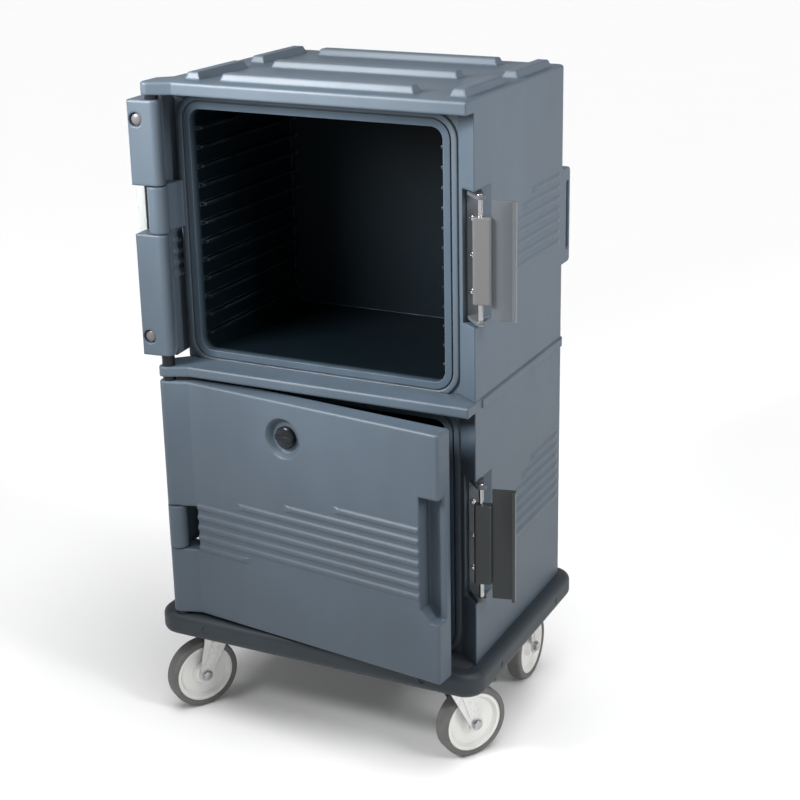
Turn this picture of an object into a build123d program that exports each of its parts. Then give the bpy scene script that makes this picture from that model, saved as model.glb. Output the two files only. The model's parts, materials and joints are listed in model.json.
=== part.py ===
from build123d import *
import os
from dataclasses import dataclass

# Insulated food pan carrier: two stacked compartments with side hinged doors, on a base with casters.
# Millimetres, +Z up, doors on the -Y side, origin on the floor below the middle of the bumper.
# Rest pose: upper door folded back along the left side, lower door ajar, latch levers open.

# Body
left_wall = 34.0
right_wall = 74.0
body_depth = 496.0
skin = 6.0
front_wall = 16.0
door_recess = 65.0
back_corner_radius = 22.0
upper_deck_round = 5.0
lower_deck_round = 3.0
strip_reach = 32.0
upper_height = 571.0
lower_height = 549.0
upper_lip = 25.0
lower_lip = 20.0
band_proud = 2.5
joint_reveal = 3.0

# Compartment
opening_width = 544.0
opening_radius = 24.0
sill = 20.0
head = 35.0
compartment_depth = 380.0
liner_wall = 4.0
flange_width = 14.0
bead_proud = 4.0
bead_gap = 3.0
bead_width = 11.0
rail_count = 12
rail_pitch = 38.1
rail_first = 33.0
rail_reach = 14.0
rail_thickness = 9.0
rail_setback = 18.0

# Doors
door_thickness = 42.0
door_beyond = 51.0
door_gap_top = 10.0
door_gap_bottom = 6.0
door_edge_wall = 14.0
door_corner_radius = 6.0
door_round = 4.0
panel_margin = 2.0
panel_thickness = 14.0
panel_bevel = 4.6
panel_field_margin = 92.0
panel_field_depth = 3.0
panel_field_radius = 18.0
gasket_width = 11.0
seal_gap = 0.4
upper_door_angle = 265.0
lower_door_angle = 7.0

# Hinges
hinge_out = 6.0
hinge_ahead = 2.0
barrel_side = 18.0
barrel_ahead = 25.0
barrel_radius = 14.0
crease_reach = 45.0
notch_reach = 52.0
knuckle_height = 93.0
knuckle_gap = 2.5
knuckle_radius = 20.0
upper_knuckle_from_bottom = 274.0
lower_knuckle_from_bottom = 154.0
upper_barrel_foot = 18.0
lower_barrel_foot = 0.0
pin_radius = 6.0
pin_seat = 8.0
pin_play = 0.08
bush_radius = 13.0
bush_gap = 0.2
cap_recess_radius = 14.0
cap_recess_depth = 9.0
cap_radius = 10.0
cap_thickness = 6.0
cap_round = 2.0
cap_shank_radius = 4.0
cap_shank_length = 24.0
cap_inset = 38.0
cap_from_back = 16.0

# Vent caps
vent_from_top = 76.0
vent_from_left = 279.0
dish_radius = 42.0
dish_floor_radius = 32.0
dish_depth = 14.0
vent_stem_radius = 10.0
vent_play = 0.3
vent_cap_radius = 23.0
vent_cap_height = 13.0
vent_grip_width = 9.0
vent_grip_cut = 7.0

# Door ribs and side ribs
rib_count = 8
rib_pitch = 23.0
rib_base = 15.0
rib_crest = 6.0
rib_proud = 3.0
rib_top_from_top = 200.0
rib_step_share = 0.22
door_rib_steps = 3
side_rib_count = 7
side_rib_steps = 2
side_rib_rise = 74.0
side_rib_start = 117.0
side_rib_end = 44.0

# Latches
latch_height = 244.0
pocket_depth = 46.0
strap_start = 4.0
strap_width = 30.0
lever_angle = 13.0
grip_height = 164.0
grip_behind = 13.0
grip_reach = 22.0
grip_front = 12.0
grip_back = 9.0
grip_radius = 5.0
grip_end_round = 2.0
latch_screw_count = 3
latch_screw_inset = 9.0
upper_latch_from_bottom = 275.0
lower_latch_from_bottom = 261.0
pocket_beyond = 40.0
pocket_margin = 6.0
plate_thickness = 4.0
ear_thickness = 7.0
latch_out = 8.0
latch_y_from_front = 42.0
latch_pin_radius = 5.0
latch_play = 0.08
lever_height = 227.0
lever_barrel = 10.0
lever_thickness = 6.0
lever_reach = 68.0
lever_tip = 12.0
keeper_height = 256.0
keeper_width = 43.0
keeper_depth = 36.0
keeper_slant = 22.0
keeper_ridge = 15.0
keeper_drop = 26.0
keeper_ridge_radius = 6.0
latch_screw_radius = 5.0
latch_screw_head = 3.0
latch_screw_round = 1.5
latch_screw_spacing = 70.0

# Rear handles and stacking ridges
handle_height = 202.0
handle_reach = 29.0
handle_thickness = 24.0
handle_slot_height = 148.0
handle_slot_width = 15.0
handle_slot_radius = 6.8
handle_round = 3.0
handle_grip = 9.0
handle_from_bottom = 257.0
handle_radius = 10.0
ridge_height = 14.0
ridge_width = 34.0
ridge_crest = 22.0
ridge_round = 3.0
cross_ridge_length = 410.0
side_ridge_length = 176.0
ridge_front_margin = 58.0
left_ridge_margin = 60.0
right_ridge_margin = 34.0

# Base and bumper
caster_height = 187.0
base_height = 51.0
bumper_side = 26.0
bumper_front = 22.0
bumper_back = 22.0
bumper_thickness = 34.0
bumper_corner = 44.0
bumper_round = 15.0
bumper_screw_radius = 4.0
bumper_screw_head = 7.0
bumper_screw_head_height = 3.0
bumper_screw_inset = 120.0
base_deck = 16.0
base_rib = 14.0
base_pocket_columns = 3
base_bolt_radius = 5.0
base_bolt_head = 9.0
base_bolt_head_height = 6.0
base_bolt_x = 150.0
base_bolt_y = 170.0

# Casters
wheel_diameter = 152.0
tread_width = 32.0
tread_thickness = 13.0
tread_round = 6.0
hub_radius = 20.0
web_thickness = 12.0
rim_thickness = 7.0
rim_width = 28.0
axle_radius = 6.0
axle_play = 0.06
side_play = 0.3
fork_thickness = 4.0
fork_gap = 4.0
fork_top_width = 60.0
fork_boss = 16.0
fork_crown = 8.0
fork_rib = 1.6
fork_rib_width = 20.0
fork_rib_foot = 27.0
fork_rib_head = 10.0
plate_length = 88.0
plate_width = 104.0
caster_plate_thickness = 5.0
plate_radius = 10.0
race_radius = 29.0
race_height = 13.0
race_round = 3.2
race_play = 0.3
kingpin_radius = 7.0
kingpin_head = 12.0
kingpin_head_height = 7.0
trail = 30.0
caster_inset = 82.0
front_caster_from_front = 66.0
rear_caster_from_back = 66.0
plate_bolt_radius = 4.0
plate_bolt_head = 7.0
plate_bolt_head_height = 5.0
plate_bolt_inset = 13.0
nut_height = 7.0
nut_radius = 11.0
hex_sides = 6
front_left_angle = 237.0
front_right_angle = 57.0
rear_angle = 90.0
pedal_width = 34.0
pedal_length = 60.0
pedal_thickness = 4.0
pedal_pin_radius = 3.0
pedal_pin_drop = 4.2
pedal_pin_ahead = -6.0
pedal_lip = 9.0

# How near two places have to be to count as one
touch = 0.01

# Places that follow from the sizes above
front_y = -body_depth / 2
back_y = body_depth / 2
seal_y = front_y + door_recess
base_bottom = caster_height
base_top = base_bottom + base_height
lower_top = base_top + lower_height
upper_top = lower_top + upper_height
opening_half = opening_width / 2
body_left = opening_half + left_wall
body_right = opening_half + right_wall
door_right = opening_half + door_beyond
bead_inner = opening_half + flange_width + bead_gap
bead_outer = bead_inner + bead_width
hinge_x = -body_left - hinge_out
hinge_y = front_y - hinge_ahead
barrel_left = hinge_x - barrel_side
barrel_front = hinge_y - barrel_ahead
crease_x = hinge_x + crease_reach
notch_x = hinge_x + notch_reach
door_back = front_y + door_thickness
gasket_back = seal_y - bead_proud - seal_gap
pocket_x = opening_half + pocket_beyond
pocket_back_y = seal_y + pocket_depth
latch_x = body_right + latch_out
latch_y = front_y + latch_y_from_front
bumper_half = body_right + bumper_side
bumper_y0 = front_y - bumper_front
bumper_y1 = back_y + bumper_back
bumper_screw_z = base_bottom + base_height / 2
base_half = bumper_half - bumper_thickness
base_y0 = bumper_y0 + bumper_thickness
base_y1 = bumper_y1 - bumper_thickness
caster_x = bumper_half - caster_inset
wheel_radius = wheel_diameter / 2
axle_z = wheel_radius
fork_inner = tread_width / 2 + fork_gap
fork_outer = fork_inner + fork_thickness
plate_bottom = base_bottom - caster_plate_thickness
race_bottom = plate_bottom - race_height
crown_top = race_bottom - race_play
crown_bottom = crown_top - fork_crown
front_caster_y = front_y + front_caster_from_front
rear_caster_y = back_y - rear_caster_from_back


@dataclass(frozen=True)
class Bay:
    """One compartment with its shell, door, hinge knuckle and latch."""

    name: str
    bottom: float
    top: float
    lip: float
    knuckle_from_bottom: float
    latch_from_bottom: float
    barrel_foot: float
    angle: float
    deck_round: float

    @property
    def lip_bottom(self):
        return self.top - self.lip

    @property
    def floor(self):
        return self.bottom + sill

    @property
    def ceiling(self):
        return self.lip_bottom - head

    @property
    def middle(self):
        return (self.floor + self.ceiling) / 2

    @property
    def opening_height(self):
        return self.ceiling - self.floor

    @property
    def door_bottom(self):
        return self.bottom + door_gap_bottom

    @property
    def door_top(self):
        return self.lip_bottom - door_gap_top

    @property
    def knuckle_bottom(self):
        return self.bottom + self.knuckle_from_bottom

    @property
    def latch_middle(self):
        return self.bottom + self.latch_from_bottom


upper = Bay(
    "upper",
    lower_top,
    upper_top,
    upper_lip,
    upper_knuckle_from_bottom,
    upper_latch_from_bottom,
    upper_barrel_foot,
    upper_door_angle,
    upper_deck_round,
)
lower = Bay(
    "lower",
    base_top,
    lower_top,
    lower_lip,
    lower_knuckle_from_bottom,
    lower_latch_from_bottom,
    lower_barrel_foot,
    lower_door_angle,
    lower_deck_round,
)

pieces = {}


def block(x0, x1, y0, y1, z0, z1):
    """A box between two corners."""
    return Pos((x0 + x1) / 2, (y0 + y1) / 2, (z0 + z1) / 2) * Box(x1 - x0, y1 - y0, z1 - z0)


def prism(points, z0, z1):
    """A plan outline carried up from z0 to z1."""
    outline = make_face(Polyline(*points, close=True))
    return Pos(0, 0, z0) * extrude(outline, z1 - z0, dir=(0, 0, 1))


def rod(x, y, z0, z1, radius):
    """An upright round bar."""
    return Pos(x, y, (z0 + z1) / 2) * Cylinder(radius, z1 - z0)


def cross_rod(x, z, y0, y1, radius):
    """A round bar along Y."""
    return Pos(x, (y0 + y1) / 2, z) * Rot(90, 0, 0) * Cylinder(radius, y1 - y0)


def slab(width, height, radius, z, y0, y1):
    """A rounded rectangle facing the doors, from y0 to y1, centred on the opening."""
    plane = Plane(origin=(0, y0, z), x_dir=(1, 0, 0), z_dir=(0, -1, 0))
    return extrude(plane * RectangleRounded(width, height, radius), y1 - y0, dir=(0, 1, 0))


def rib_section():
    """The crest and foot of a moulded rib, as offsets along and across it."""
    return [(-rib_base / 2, 0), (rib_base / 2, 0), (rib_crest / 2, rib_proud), (-rib_crest / 2, rib_proud)]


def door_rib(x0, x1, z):
    """A raised rib along X on the outer face of a door."""
    points = [(x0, front_y - v, z + u) for u, v in rib_section()]
    return extrude(make_face(Polyline(*points, close=True)), x1 - x0, dir=(1, 0, 0))


def side_rib(side, y0, y1, z):
    """A raised rib along Y on one side of a shell."""
    wall = body_right if side > 0 else -body_left
    points = [(wall + side * v, y0, z + u) for u, v in rib_section()]
    return extrude(make_face(Polyline(*points, close=True)), y1 - y0, dir=(0, 1, 0))


def upright_edges(shape, x, y):
    """The upright edges of a shape that stand at one place in plan."""
    upright = shape.edges().filter_by(Axis.Z)
    return [e for e in upright if abs(e.center().X - x) < touch and abs(e.center().Y - y) < touch]


def deck_edges(shape):
    """The edges round the top face of a shape."""
    return shape.faces().filter_by(Axis.Z).sort_by(Axis.Z)[-1].edges()


# Shells


def ear_plan():
    """The lip in plan, with the hinge ear at its left end."""
    return [
        (barrel_left, door_back),
        (barrel_left, barrel_front),
        (crease_x, front_y),
        (body_right, front_y),
        (body_right, seal_y),
        (-body_left, seal_y),
    ]


def lip(bay):
    """The front lip over a door, rounded at the hinge ear."""
    solid = prism(ear_plan(), bay.lip_bottom, bay.top)
    return fillet(upright_edges(solid, barrel_left, barrel_front), barrel_radius)


def walls(bay):
    """The outer block of a compartment behind the seal face."""
    plan = [
        (-body_left, seal_y),
        (bead_outer, seal_y),
        (body_right, seal_y - strip_reach),
        (body_right, back_y),
        (-body_left, back_y),
    ]
    solid = prism(plan, bay.bottom, bay.top)
    corners = upright_edges(solid, body_right, back_y) + upright_edges(solid, -body_left, back_y)
    return fillet(corners, back_corner_radius)


def foam_space(bay):
    """The hollow between skin and liner."""
    plan = [
        (-body_left + skin, seal_y + front_wall),
        (pocket_x - skin, seal_y + front_wall),
        (body_right - skin, pocket_back_y + skin),
        (body_right - skin, back_y - back_corner_radius),
        (body_right - back_corner_radius, back_y - skin),
        (-body_left + back_corner_radius, back_y - skin),
        (-body_left + skin, back_y - back_corner_radius),
    ]
    return prism(plan, bay.bottom + skin, bay.top - skin)


def liner_outside(bay, y0):
    """The outer form of the liner tub, from y0 back."""
    width = opening_width + 2 * liner_wall
    height = bay.opening_height + 2 * liner_wall
    y1 = seal_y + compartment_depth + liner_wall
    return slab(width, height, opening_radius + liner_wall, bay.middle, y0, y1)


def seal_bead(bay):
    """The raised ring round the opening that the gasket meets."""
    y0 = seal_y - bead_proud
    y1 = seal_y + skin
    rings = []
    for reach in (bead_outer - opening_half, bead_inner - opening_half):
        width = opening_width + 2 * reach
        height = bay.opening_height + 2 * reach
        rings.append(slab(width, height, opening_radius + reach, bay.middle, y0, y1))
    keep = block(-bead_outer, bead_outer, y0, y1, bay.bottom, bay.lip_bottom)
    return (rings[0] - rings[1]) & keep


def knuckle(bay):
    """The body's own hinge knuckle between the two barrels of a door, with its web to the front wall."""
    z0 = bay.knuckle_bottom
    z1 = z0 + knuckle_height
    web_right = -opening_half - flange_width - gasket_width
    web = [
        (hinge_x - knuckle_radius, hinge_y),
        (hinge_x, hinge_y - knuckle_radius),
        (web_right, door_back),
        (web_right, seal_y),
        (-body_left, seal_y),
    ]
    return prism(web, z0, z1) + rod(hinge_x, hinge_y, z0, z1, knuckle_radius)


def latch_pocket(bay):
    """The corner cut away for the latch, with three cornered ends."""
    half = latch_height / 2 + pocket_margin
    beyond = door_recess
    plan = [
        (pocket_x, seal_y),
        (body_right, pocket_back_y),
        (body_right + beyond, pocket_back_y),
        (body_right + beyond, front_y),
        (pocket_x, front_y),
    ]
    return prism(plan, bay.latch_middle - half, bay.latch_middle + half)


def pin_bore(bay):
    """The bore for the hinge pin in the ears and the middle knuckle of one compartment."""
    return rod(hinge_x, hinge_y, bay.bottom, bay.lip_bottom + pin_seat, pin_radius + pin_play)


def side_ribs(bay):
    """The band of ribs on both sides, its upper ribs starting further back."""
    start = pocket_back_y + side_rib_start
    end = back_y - side_rib_end
    top = bay.latch_middle + side_rib_rise
    ribs = []
    for i in range(side_rib_count):
        late = max(0, side_rib_steps - i) * rib_step_share * (end - start)
        for side in (-1, 1):
            ribs.append(side_rib(side, start + late, end, top - i * rib_pitch))
    return ribs


def rear_handle(side):
    """A moulded grab handle at one rear corner of the upper shell."""
    outer_x = body_right if side > 0 else -body_left
    inner_x = outer_x - side * handle_thickness
    x0, x1 = min(outer_x, inner_x), max(outer_x, inner_x)
    z0 = upper.bottom + handle_from_bottom - handle_height / 2
    z1 = z0 + handle_height
    foot = back_y - back_corner_radius - handle_grip
    loop = block(x0, x1, foot, back_y + handle_reach, z0, z1)
    rear = [e for e in loop.edges().filter_by(Axis.X) if e.center().Y > back_y]
    loop = fillet(rear, handle_radius)
    rims = [e for f in loop.faces().filter_by(Axis.X) for e in f.edges() if e.center().Y > foot + touch]
    loop = fillet(rims, handle_round)
    slot_y1 = back_y + handle_reach - handle_grip
    half = handle_slot_height / 2
    middle = (z0 + z1) / 2
    slot = block(x0 - skin, x1 + skin, slot_y1 - handle_slot_width, slot_y1, middle - half, middle + half)
    slot = fillet(slot.edges().filter_by(Axis.X), handle_slot_radius)
    return loop - slot


def ridge(x, y, length, along_x):
    """One tapered stacking ridge on the top deck."""
    size = (length, ridge_width) if along_x else (ridge_width, length)
    taper = ridge_width - ridge_crest
    foot = Pos(x, y, upper_top) * Rectangle(*size)
    crest = Pos(x, y, upper_top + ridge_height) * Rectangle(size[0] - taper, size[1] - taper)
    solid = loft([foot.face(), crest.face()])
    return fillet(deck_edges(solid), ridge_round)


def stacking_ridges():
    """Three ridges across the deck and two along each side."""
    front = front_y + ridge_front_margin
    back = back_y - ridge_front_margin
    middle_x = (body_right - body_left) / 2
    ridges = [ridge(middle_x, y, cross_ridge_length, True) for y in (front, (front + back) / 2, back)]
    for x in (-body_left + left_ridge_margin, body_right - right_ridge_margin):
        reach = (back - front) / 2 + ridge_width / 2 - side_ridge_length / 2
        ridges += [ridge(x, y, side_ridge_length, False) for y in (-reach, reach)]
    return ridges


def shell(bay, extras):
    """One outer shell with lip, ear, knuckle, bead, pocket and ribs, and what is moulded on besides."""
    solid = walls(bay) + lip(bay)
    solid = fillet(deck_edges(solid), bay.deck_round)
    solid += seal_bead(bay) + knuckle(bay)
    for extra in extras:
        solid += extra
    solid -= foam_space(bay)
    solid -= liner_outside(bay, seal_y - bead_proud)
    solid -= latch_pocket(bay)
    solid -= pin_bore(bay)
    for rib in side_ribs(bay):
        solid += rib
    return solid


def upper_shell():
    """The upper shell with deck ridges and rear handles."""
    return shell(upper, stacking_ridges() + [rear_handle(side) for side in (-1, 1)])


def lower_shell():
    """The lower shell with the seat of the upper hinge pin and a raised band below the joint."""
    foot = lower.lip_bottom
    top = lower.top - joint_reveal
    band = block(-body_left - band_proud, body_right + band_proud, seal_y, back_y + band_proud, foot, top)
    band = fillet(band.edges().filter_by(Axis.Z).group_by(Axis.Y)[-1], back_corner_radius)
    band -= block(-body_left + skin, body_right - skin, seal_y, back_y - skin, foot, top)
    solid = shell(lower, [band])
    return solid - rod(hinge_x, hinge_y, lower.top - pin_seat, lower.top, pin_radius + pin_play)


def liner(bay):
    """The inner tub with its front flange and the pan rails on both sides."""
    tub = liner_outside(bay, seal_y)
    grow = 2 * flange_width
    height = bay.opening_height
    flange_front = seal_y - bead_proud
    flange_radius = opening_radius + flange_width
    tub += slab(opening_width + grow, height + grow, flange_radius, bay.middle, flange_front, seal_y)
    y0 = seal_y + rail_setback
    y1 = seal_y + compartment_depth
    tub -= slab(opening_width, height, opening_radius, bay.middle, flange_front, y1)
    for i in range(rail_count):
        z = bay.floor + rail_first + i * rail_pitch
        for side in (-1, 1):
            wall = side * (opening_half + liner_wall / 2)
            crest = side * (opening_half - rail_reach)
            points = [
                (wall, z - rail_thickness),
                (crest, z - rail_thickness / 2),
                (crest, z),
                (wall, z),
            ]
            section = make_face(Polyline(*[(x, y0, h) for x, h in points], close=True))
            tub += extrude(section, y1 - y0, dir=(0, 1, 0))
    return tub


def foam(bay):
    """The insulation that fills the hollow round the liner."""
    return foam_space(bay) - liner_outside(bay, seal_y)


# Doors, drawn closed and turned to the rest pose at the end


def to_rest(shape, bay):
    """Turns a door piece from closed to its rest pose about the hinge."""
    return Pos(hinge_x, hinge_y, 0) * Rot(0, 0, -bay.angle) * Pos(-hinge_x, -hinge_y, 0) * shape


def vent_place(bay):
    """Where the vent stands on a closed door."""
    return hinge_x + vent_from_left, bay.door_top - vent_from_top


def door_space(bay):
    """The hollow of a door behind its outer face, with the boss of the vent left standing."""
    space = block(
        notch_x + skin,
        door_right - keeper_width - skin,
        front_y + skin,
        door_back,
        bay.door_bottom + door_edge_wall,
        bay.door_top - door_edge_wall,
    )
    x, z = vent_place(bay)
    return space - cross_rod(x, z, front_y, door_back, dish_radius + skin)


def keeper_recess(bay):
    """The recess at the free edge where the latch hook sits."""
    z0 = bay.latch_middle - keeper_height / 2
    z1 = z0 + keeper_height
    x0 = door_right - keeper_width
    beyond = door_right + skin
    outline = [
        (x0, z0 + keeper_slant),
        (x0 + keeper_slant, z0),
        (beyond, z0),
        (beyond, z1),
        (x0, z1),
    ]
    points = [(x, front_y - rib_proud, z) for x, z in outline]
    return extrude(make_face(Polyline(*points, close=True)), rib_proud + keeper_depth, dir=(0, 1, 0))


def keeper_bar(bay):
    """The rounded ridge inside the recess that the hook reaches round."""
    z0 = bay.latch_middle - keeper_height / 2
    y0 = front_y + keeper_drop
    y1 = front_y + keeper_depth + keeper_ridge_radius
    bar = block(door_right - keeper_ridge, door_right, y0, y1, z0, z0 + keeper_height)
    front = bar.edges().filter_by(Axis.Z).group_by(Axis.Y)[0]
    return fillet(front, keeper_ridge_radius)


def door_ribs(bay):
    """The stepped band of ribs: the upper ones start further right, the last ends early."""
    left = notch_x
    right = door_right - keeper_width
    top = bay.door_top - rib_top_from_top
    span = right - left
    ribs = []
    for i in range(rib_count):
        late = max(0, door_rib_steps - i) * rib_step_share
        last = i == rib_count - 1
        x1 = left + rib_step_share * span if last else right
        ribs.append(door_rib(left + late * span, x1, top - i * rib_pitch))
    return ribs


def end_bar(z, start, length, radius):
    """A round bar along X in the left end of a door, from a depth below the end face."""
    x = barrel_left + start + length / 2
    return Pos(x, door_back - cap_from_back, z) * Rot(0, 90, 0) * Cylinder(radius, length)


def end_recess(z):
    """The recess and bore for a hinge end screw in the left end of a door."""
    well = end_bar(z, 0, cap_recess_depth, cap_recess_radius)
    return well + end_bar(z, cap_recess_depth, cap_shank_length, cap_shank_radius + pin_play)


def end_screw_heights(bay):
    """The two heights of the hinge end screws of a door."""
    return bay.door_bottom + bay.barrel_foot + cap_inset, bay.door_top - cap_inset


def door_shell(bay):
    """The outer shell of a door with its hinge barrels, ribs, vent dish and latch recess."""
    plan = [
        (barrel_left, door_back),
        (barrel_left, barrel_front),
        (crease_x, front_y),
        (door_right, front_y),
        (door_right, door_back),
    ]
    solid = prism(plan, bay.door_bottom, bay.door_top)
    solid = fillet(upright_edges(solid, barrel_left, barrel_front), barrel_radius)
    solid = fillet(upright_edges(solid, door_right, front_y), door_corner_radius)
    ends = solid.faces().filter_by(Axis.Z)
    rims = [e for f in ends for e in f.edges() if e.center().Y < door_back - touch]
    solid = fillet(rims, door_round)
    for rib in door_ribs(bay):
        solid += rib
    solid -= keeper_recess(bay)
    solid += keeper_bar(bay)
    z0 = bay.knuckle_bottom - knuckle_gap
    z1 = bay.knuckle_bottom + knuckle_height + knuckle_gap
    reach = barrel_front - skin
    solid -= block(barrel_left - skin, notch_x, reach, door_back + skin, z0, z1)
    if bay.barrel_foot > 0:
        foot = bay.door_bottom + bay.barrel_foot
        solid -= block(barrel_left - skin, crease_x, reach, door_back + skin, bay.door_bottom - skin, foot)
    solid -= door_space(bay)
    x, z = vent_place(bay)
    dish = Cone(dish_floor_radius, dish_radius, dish_depth)
    solid -= Pos(x, front_y + dish_depth / 2, z) * Rot(90, 0, 0) * dish
    solid -= cross_rod(x, z, front_y, door_back, vent_stem_radius + vent_play)
    solid -= rod(hinge_x, hinge_y, bay.door_bottom, bay.door_top, pin_radius + pin_play)
    for height in end_screw_heights(bay):
        solid -= end_recess(height)
    return to_rest(solid, bay)


def door_foam(bay):
    """The insulation inside a door."""
    return to_rest(door_space(bay), bay)


def panel_size(bay):
    """Width and height of the inner panel of a door."""
    return opening_width + 2 * panel_margin, bay.opening_height + 2 * panel_margin


def door_panel(bay):
    """The inner panel on the back of a door."""
    width, height = panel_size(bay)
    panel = slab(width, height, opening_radius, bay.middle, door_back, door_back + panel_thickness)
    inner = panel.faces().sort_by(Axis.Y)[-1]
    panel = chamfer(inner.edges(), panel_bevel)
    field_width = width - 2 * panel_field_margin
    field_height = height - 2 * panel_field_margin
    field_top = door_back + panel_thickness
    field_floor = field_top - panel_field_depth
    panel -= slab(field_width, field_height, panel_field_radius, bay.middle, field_floor, field_top)
    x, z = vent_place(bay)
    panel -= cross_rod(x, z, door_back, door_back + panel_thickness, vent_stem_radius + vent_play)
    return to_rest(panel, bay)


def door_gasket(bay):
    """The soft ring round the inner panel that meets the bead."""
    width, height = panel_size(bay)
    grow = 2 * gasket_width
    radius = opening_radius + gasket_width
    outer = slab(width + grow, height + grow, radius, bay.middle, door_back, gasket_back)
    inner = slab(width, height, opening_radius, bay.middle, door_back, gasket_back)
    return to_rest(outer - inner, bay)


def vent_cap(bay):
    """The domed vent cap with a grip bar and its stem."""
    x, z = vent_place(bay)
    floor = dish_depth - vent_play
    dome = Pos(0, 0, vent_cap_height / 2) * Cylinder(vent_cap_radius, vent_cap_height)
    dome = fillet(dome.edges().group_by(Axis.Z)[-1], vent_grip_cut)
    for side in (-1, 1):
        offset = side * (vent_grip_width / 2 + vent_cap_radius)
        cut = Box(2 * vent_cap_radius, 2 * vent_cap_radius, vent_grip_cut)
        dome -= Pos(0, offset, vent_cap_height - vent_grip_cut / 2) * cut
    length = door_thickness + panel_thickness - dish_depth
    stem = Pos(0, 0, -length / 2) * Cylinder(vent_stem_radius, length)
    cap = Pos(x, front_y + floor, z) * Rot(90, 0, 0) * (dome + stem)
    return to_rest(cap, bay)


def hinge_end_screws(bay):
    """The two round headed screws in the left end of a door."""
    screws = []
    for height in end_screw_heights(bay):
        head = end_bar(height, cap_recess_depth - cap_thickness, cap_thickness, cap_radius)
        outer = head.edges().filter_by(GeomType.CIRCLE).sort_by(Axis.X)[0]
        shank = end_bar(height, cap_recess_depth, cap_shank_length, cap_shank_radius)
        screws.append(to_rest(fillet(outer, cap_round) + shank, bay))
    return Compound(children=screws)


def hinge_pin(bay):
    """The steel rod through the ears, barrels and middle knuckle of one door."""
    return rod(hinge_x, hinge_y, bay.bottom - pin_seat, bay.lip_bottom + pin_seat, pin_radius)


def hinge_bushes(bay):
    """The two bushes that carry a door between the ears."""
    foot = bay.door_bottom + bay.barrel_foot - bush_gap
    low = rod(hinge_x, hinge_y, bay.bottom, foot, bush_radius)
    high = rod(hinge_x, hinge_y, bay.door_top + bush_gap, bay.lip_bottom, bush_radius)
    bore = rod(hinge_x, hinge_y, bay.bottom, bay.lip_bottom, pin_radius + pin_play)
    return Compound(children=[low - bore, high - bore])


# Latches


def pocket_frame():
    """Unit vectors along the cut corner towards the back, and out of it."""
    along = Vector(body_right - pocket_x, pocket_back_y - seal_y, 0).normalized()
    return along, Vector(along.Y, -along.X, 0)


def latch_bracket(bay):
    """The strap in the corner pocket with an ear at each end that carries the rod."""
    along, out = pocket_frame()
    z0 = bay.latch_middle - latch_height / 2
    z1 = z0 + latch_height
    corner = Vector(pocket_x, seal_y, 0)
    near = corner + along * strap_start
    far = near + along * strap_width
    lift = out * plate_thickness
    plan = [near, far, far + lift, near + lift]
    solid = prism([(p.X, p.Y) for p in plan], z0, z1)
    ear = [
        (near.X, near.Y),
        (far.X, far.Y),
        (latch_x + lever_barrel * along.X, latch_y + lever_barrel * along.Y),
        (latch_x - lever_barrel * along.X, latch_y - lever_barrel * along.Y),
    ]
    for low in (z0, z1 - ear_thickness):
        solid += prism(ear, low, low + ear_thickness)
        solid += rod(latch_x, latch_y, low, low + ear_thickness, lever_barrel)
    return solid - rod(latch_x, latch_y, z0, z1, latch_pin_radius + latch_play)


def latch_turned(shape, bay):
    """Sets a lever piece, drawn along +X at the origin, on the rod at its rest turn."""
    return Pos(latch_x, latch_y, bay.latch_middle) * Rot(0, 0, lever_angle) * shape


def latch_lever(bay):
    """The tall flap with its hook lip along the outer edge."""
    half = lever_thickness / 2
    plan = [
        (grip_reach, half),
        (lever_reach, half),
        (lever_reach, -half - lever_tip),
        (lever_reach - lever_thickness, -half - lever_tip),
        (lever_reach - lever_thickness, -half),
        (grip_reach, -half),
    ]
    solid = prism(plan, -lever_height / 2, lever_height / 2)
    solid = fillet(upright_edges(solid, lever_reach, half), half)
    return latch_turned(solid, bay)


def latch_grip(bay):
    """The grip bar of the lever, bored for the rod."""
    outline = RectangleRounded(grip_reach + grip_behind, grip_front + grip_back, grip_radius)
    middle = Pos((grip_reach - grip_behind) / 2, (grip_back - grip_front) / 2, -grip_height / 2)
    solid = extrude(middle * outline, grip_height, dir=(0, 0, 1))
    rims = [e for f in solid.faces().filter_by(Axis.Z) for e in f.edges()]
    solid = fillet(rims, grip_end_round)
    solid -= Cylinder(latch_pin_radius + latch_play, grip_height)
    return latch_turned(solid, bay)


def latch_rod(bay):
    """The chrome rod that the lever turns on."""
    half = latch_height / 2
    return rod(latch_x, latch_y, bay.latch_middle - half, bay.latch_middle + half, latch_pin_radius)


def latch_screws(bay):
    """The screws that hold the strap in the pocket."""
    along, out = pocket_frame()
    foot = Vector(pocket_x, seal_y, 0) + along * (strap_start + latch_screw_inset) + out * plate_thickness
    screws = []
    for i in range(latch_screw_count):
        z = bay.latch_middle + (i - (latch_screw_count - 1) / 2) * latch_screw_spacing
        plane = Plane(origin=(foot.X, foot.Y, z), z_dir=(out.X, out.Y, 0))
        head = plane * Pos(0, 0, latch_screw_head / 2) * Cylinder(latch_screw_radius, latch_screw_head)
        rims = head.edges().filter_by(GeomType.CIRCLE).sort_by(lambda e: e.center().dot(out))
        screws.append(fillet(rims[-1], latch_screw_round))
    return Compound(children=screws)


# Base and bumper


def rounded_plan(half_width, y0, y1, radius, z0, z1):
    """A rounded rectangle in plan, carried up from z0 to z1."""
    face = Pos(0, (y0 + y1) / 2, z0) * RectangleRounded(2 * half_width, y1 - y0, radius)
    return extrude(face, z1 - z0, dir=(0, 0, 1))


def base_outline(z0, z1):
    """The outline of the base plate between two heights."""
    return rounded_plan(base_half, base_y0, base_y1, bumper_corner - bumper_thickness, z0, z1)


def base_bolt_places():
    """Plan places of the bolts that hold the lower shell to the base."""
    return [(sx * base_bolt_x, sy * base_bolt_y) for sx in (-1, 1) for sy in (-1, 1)]


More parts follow.
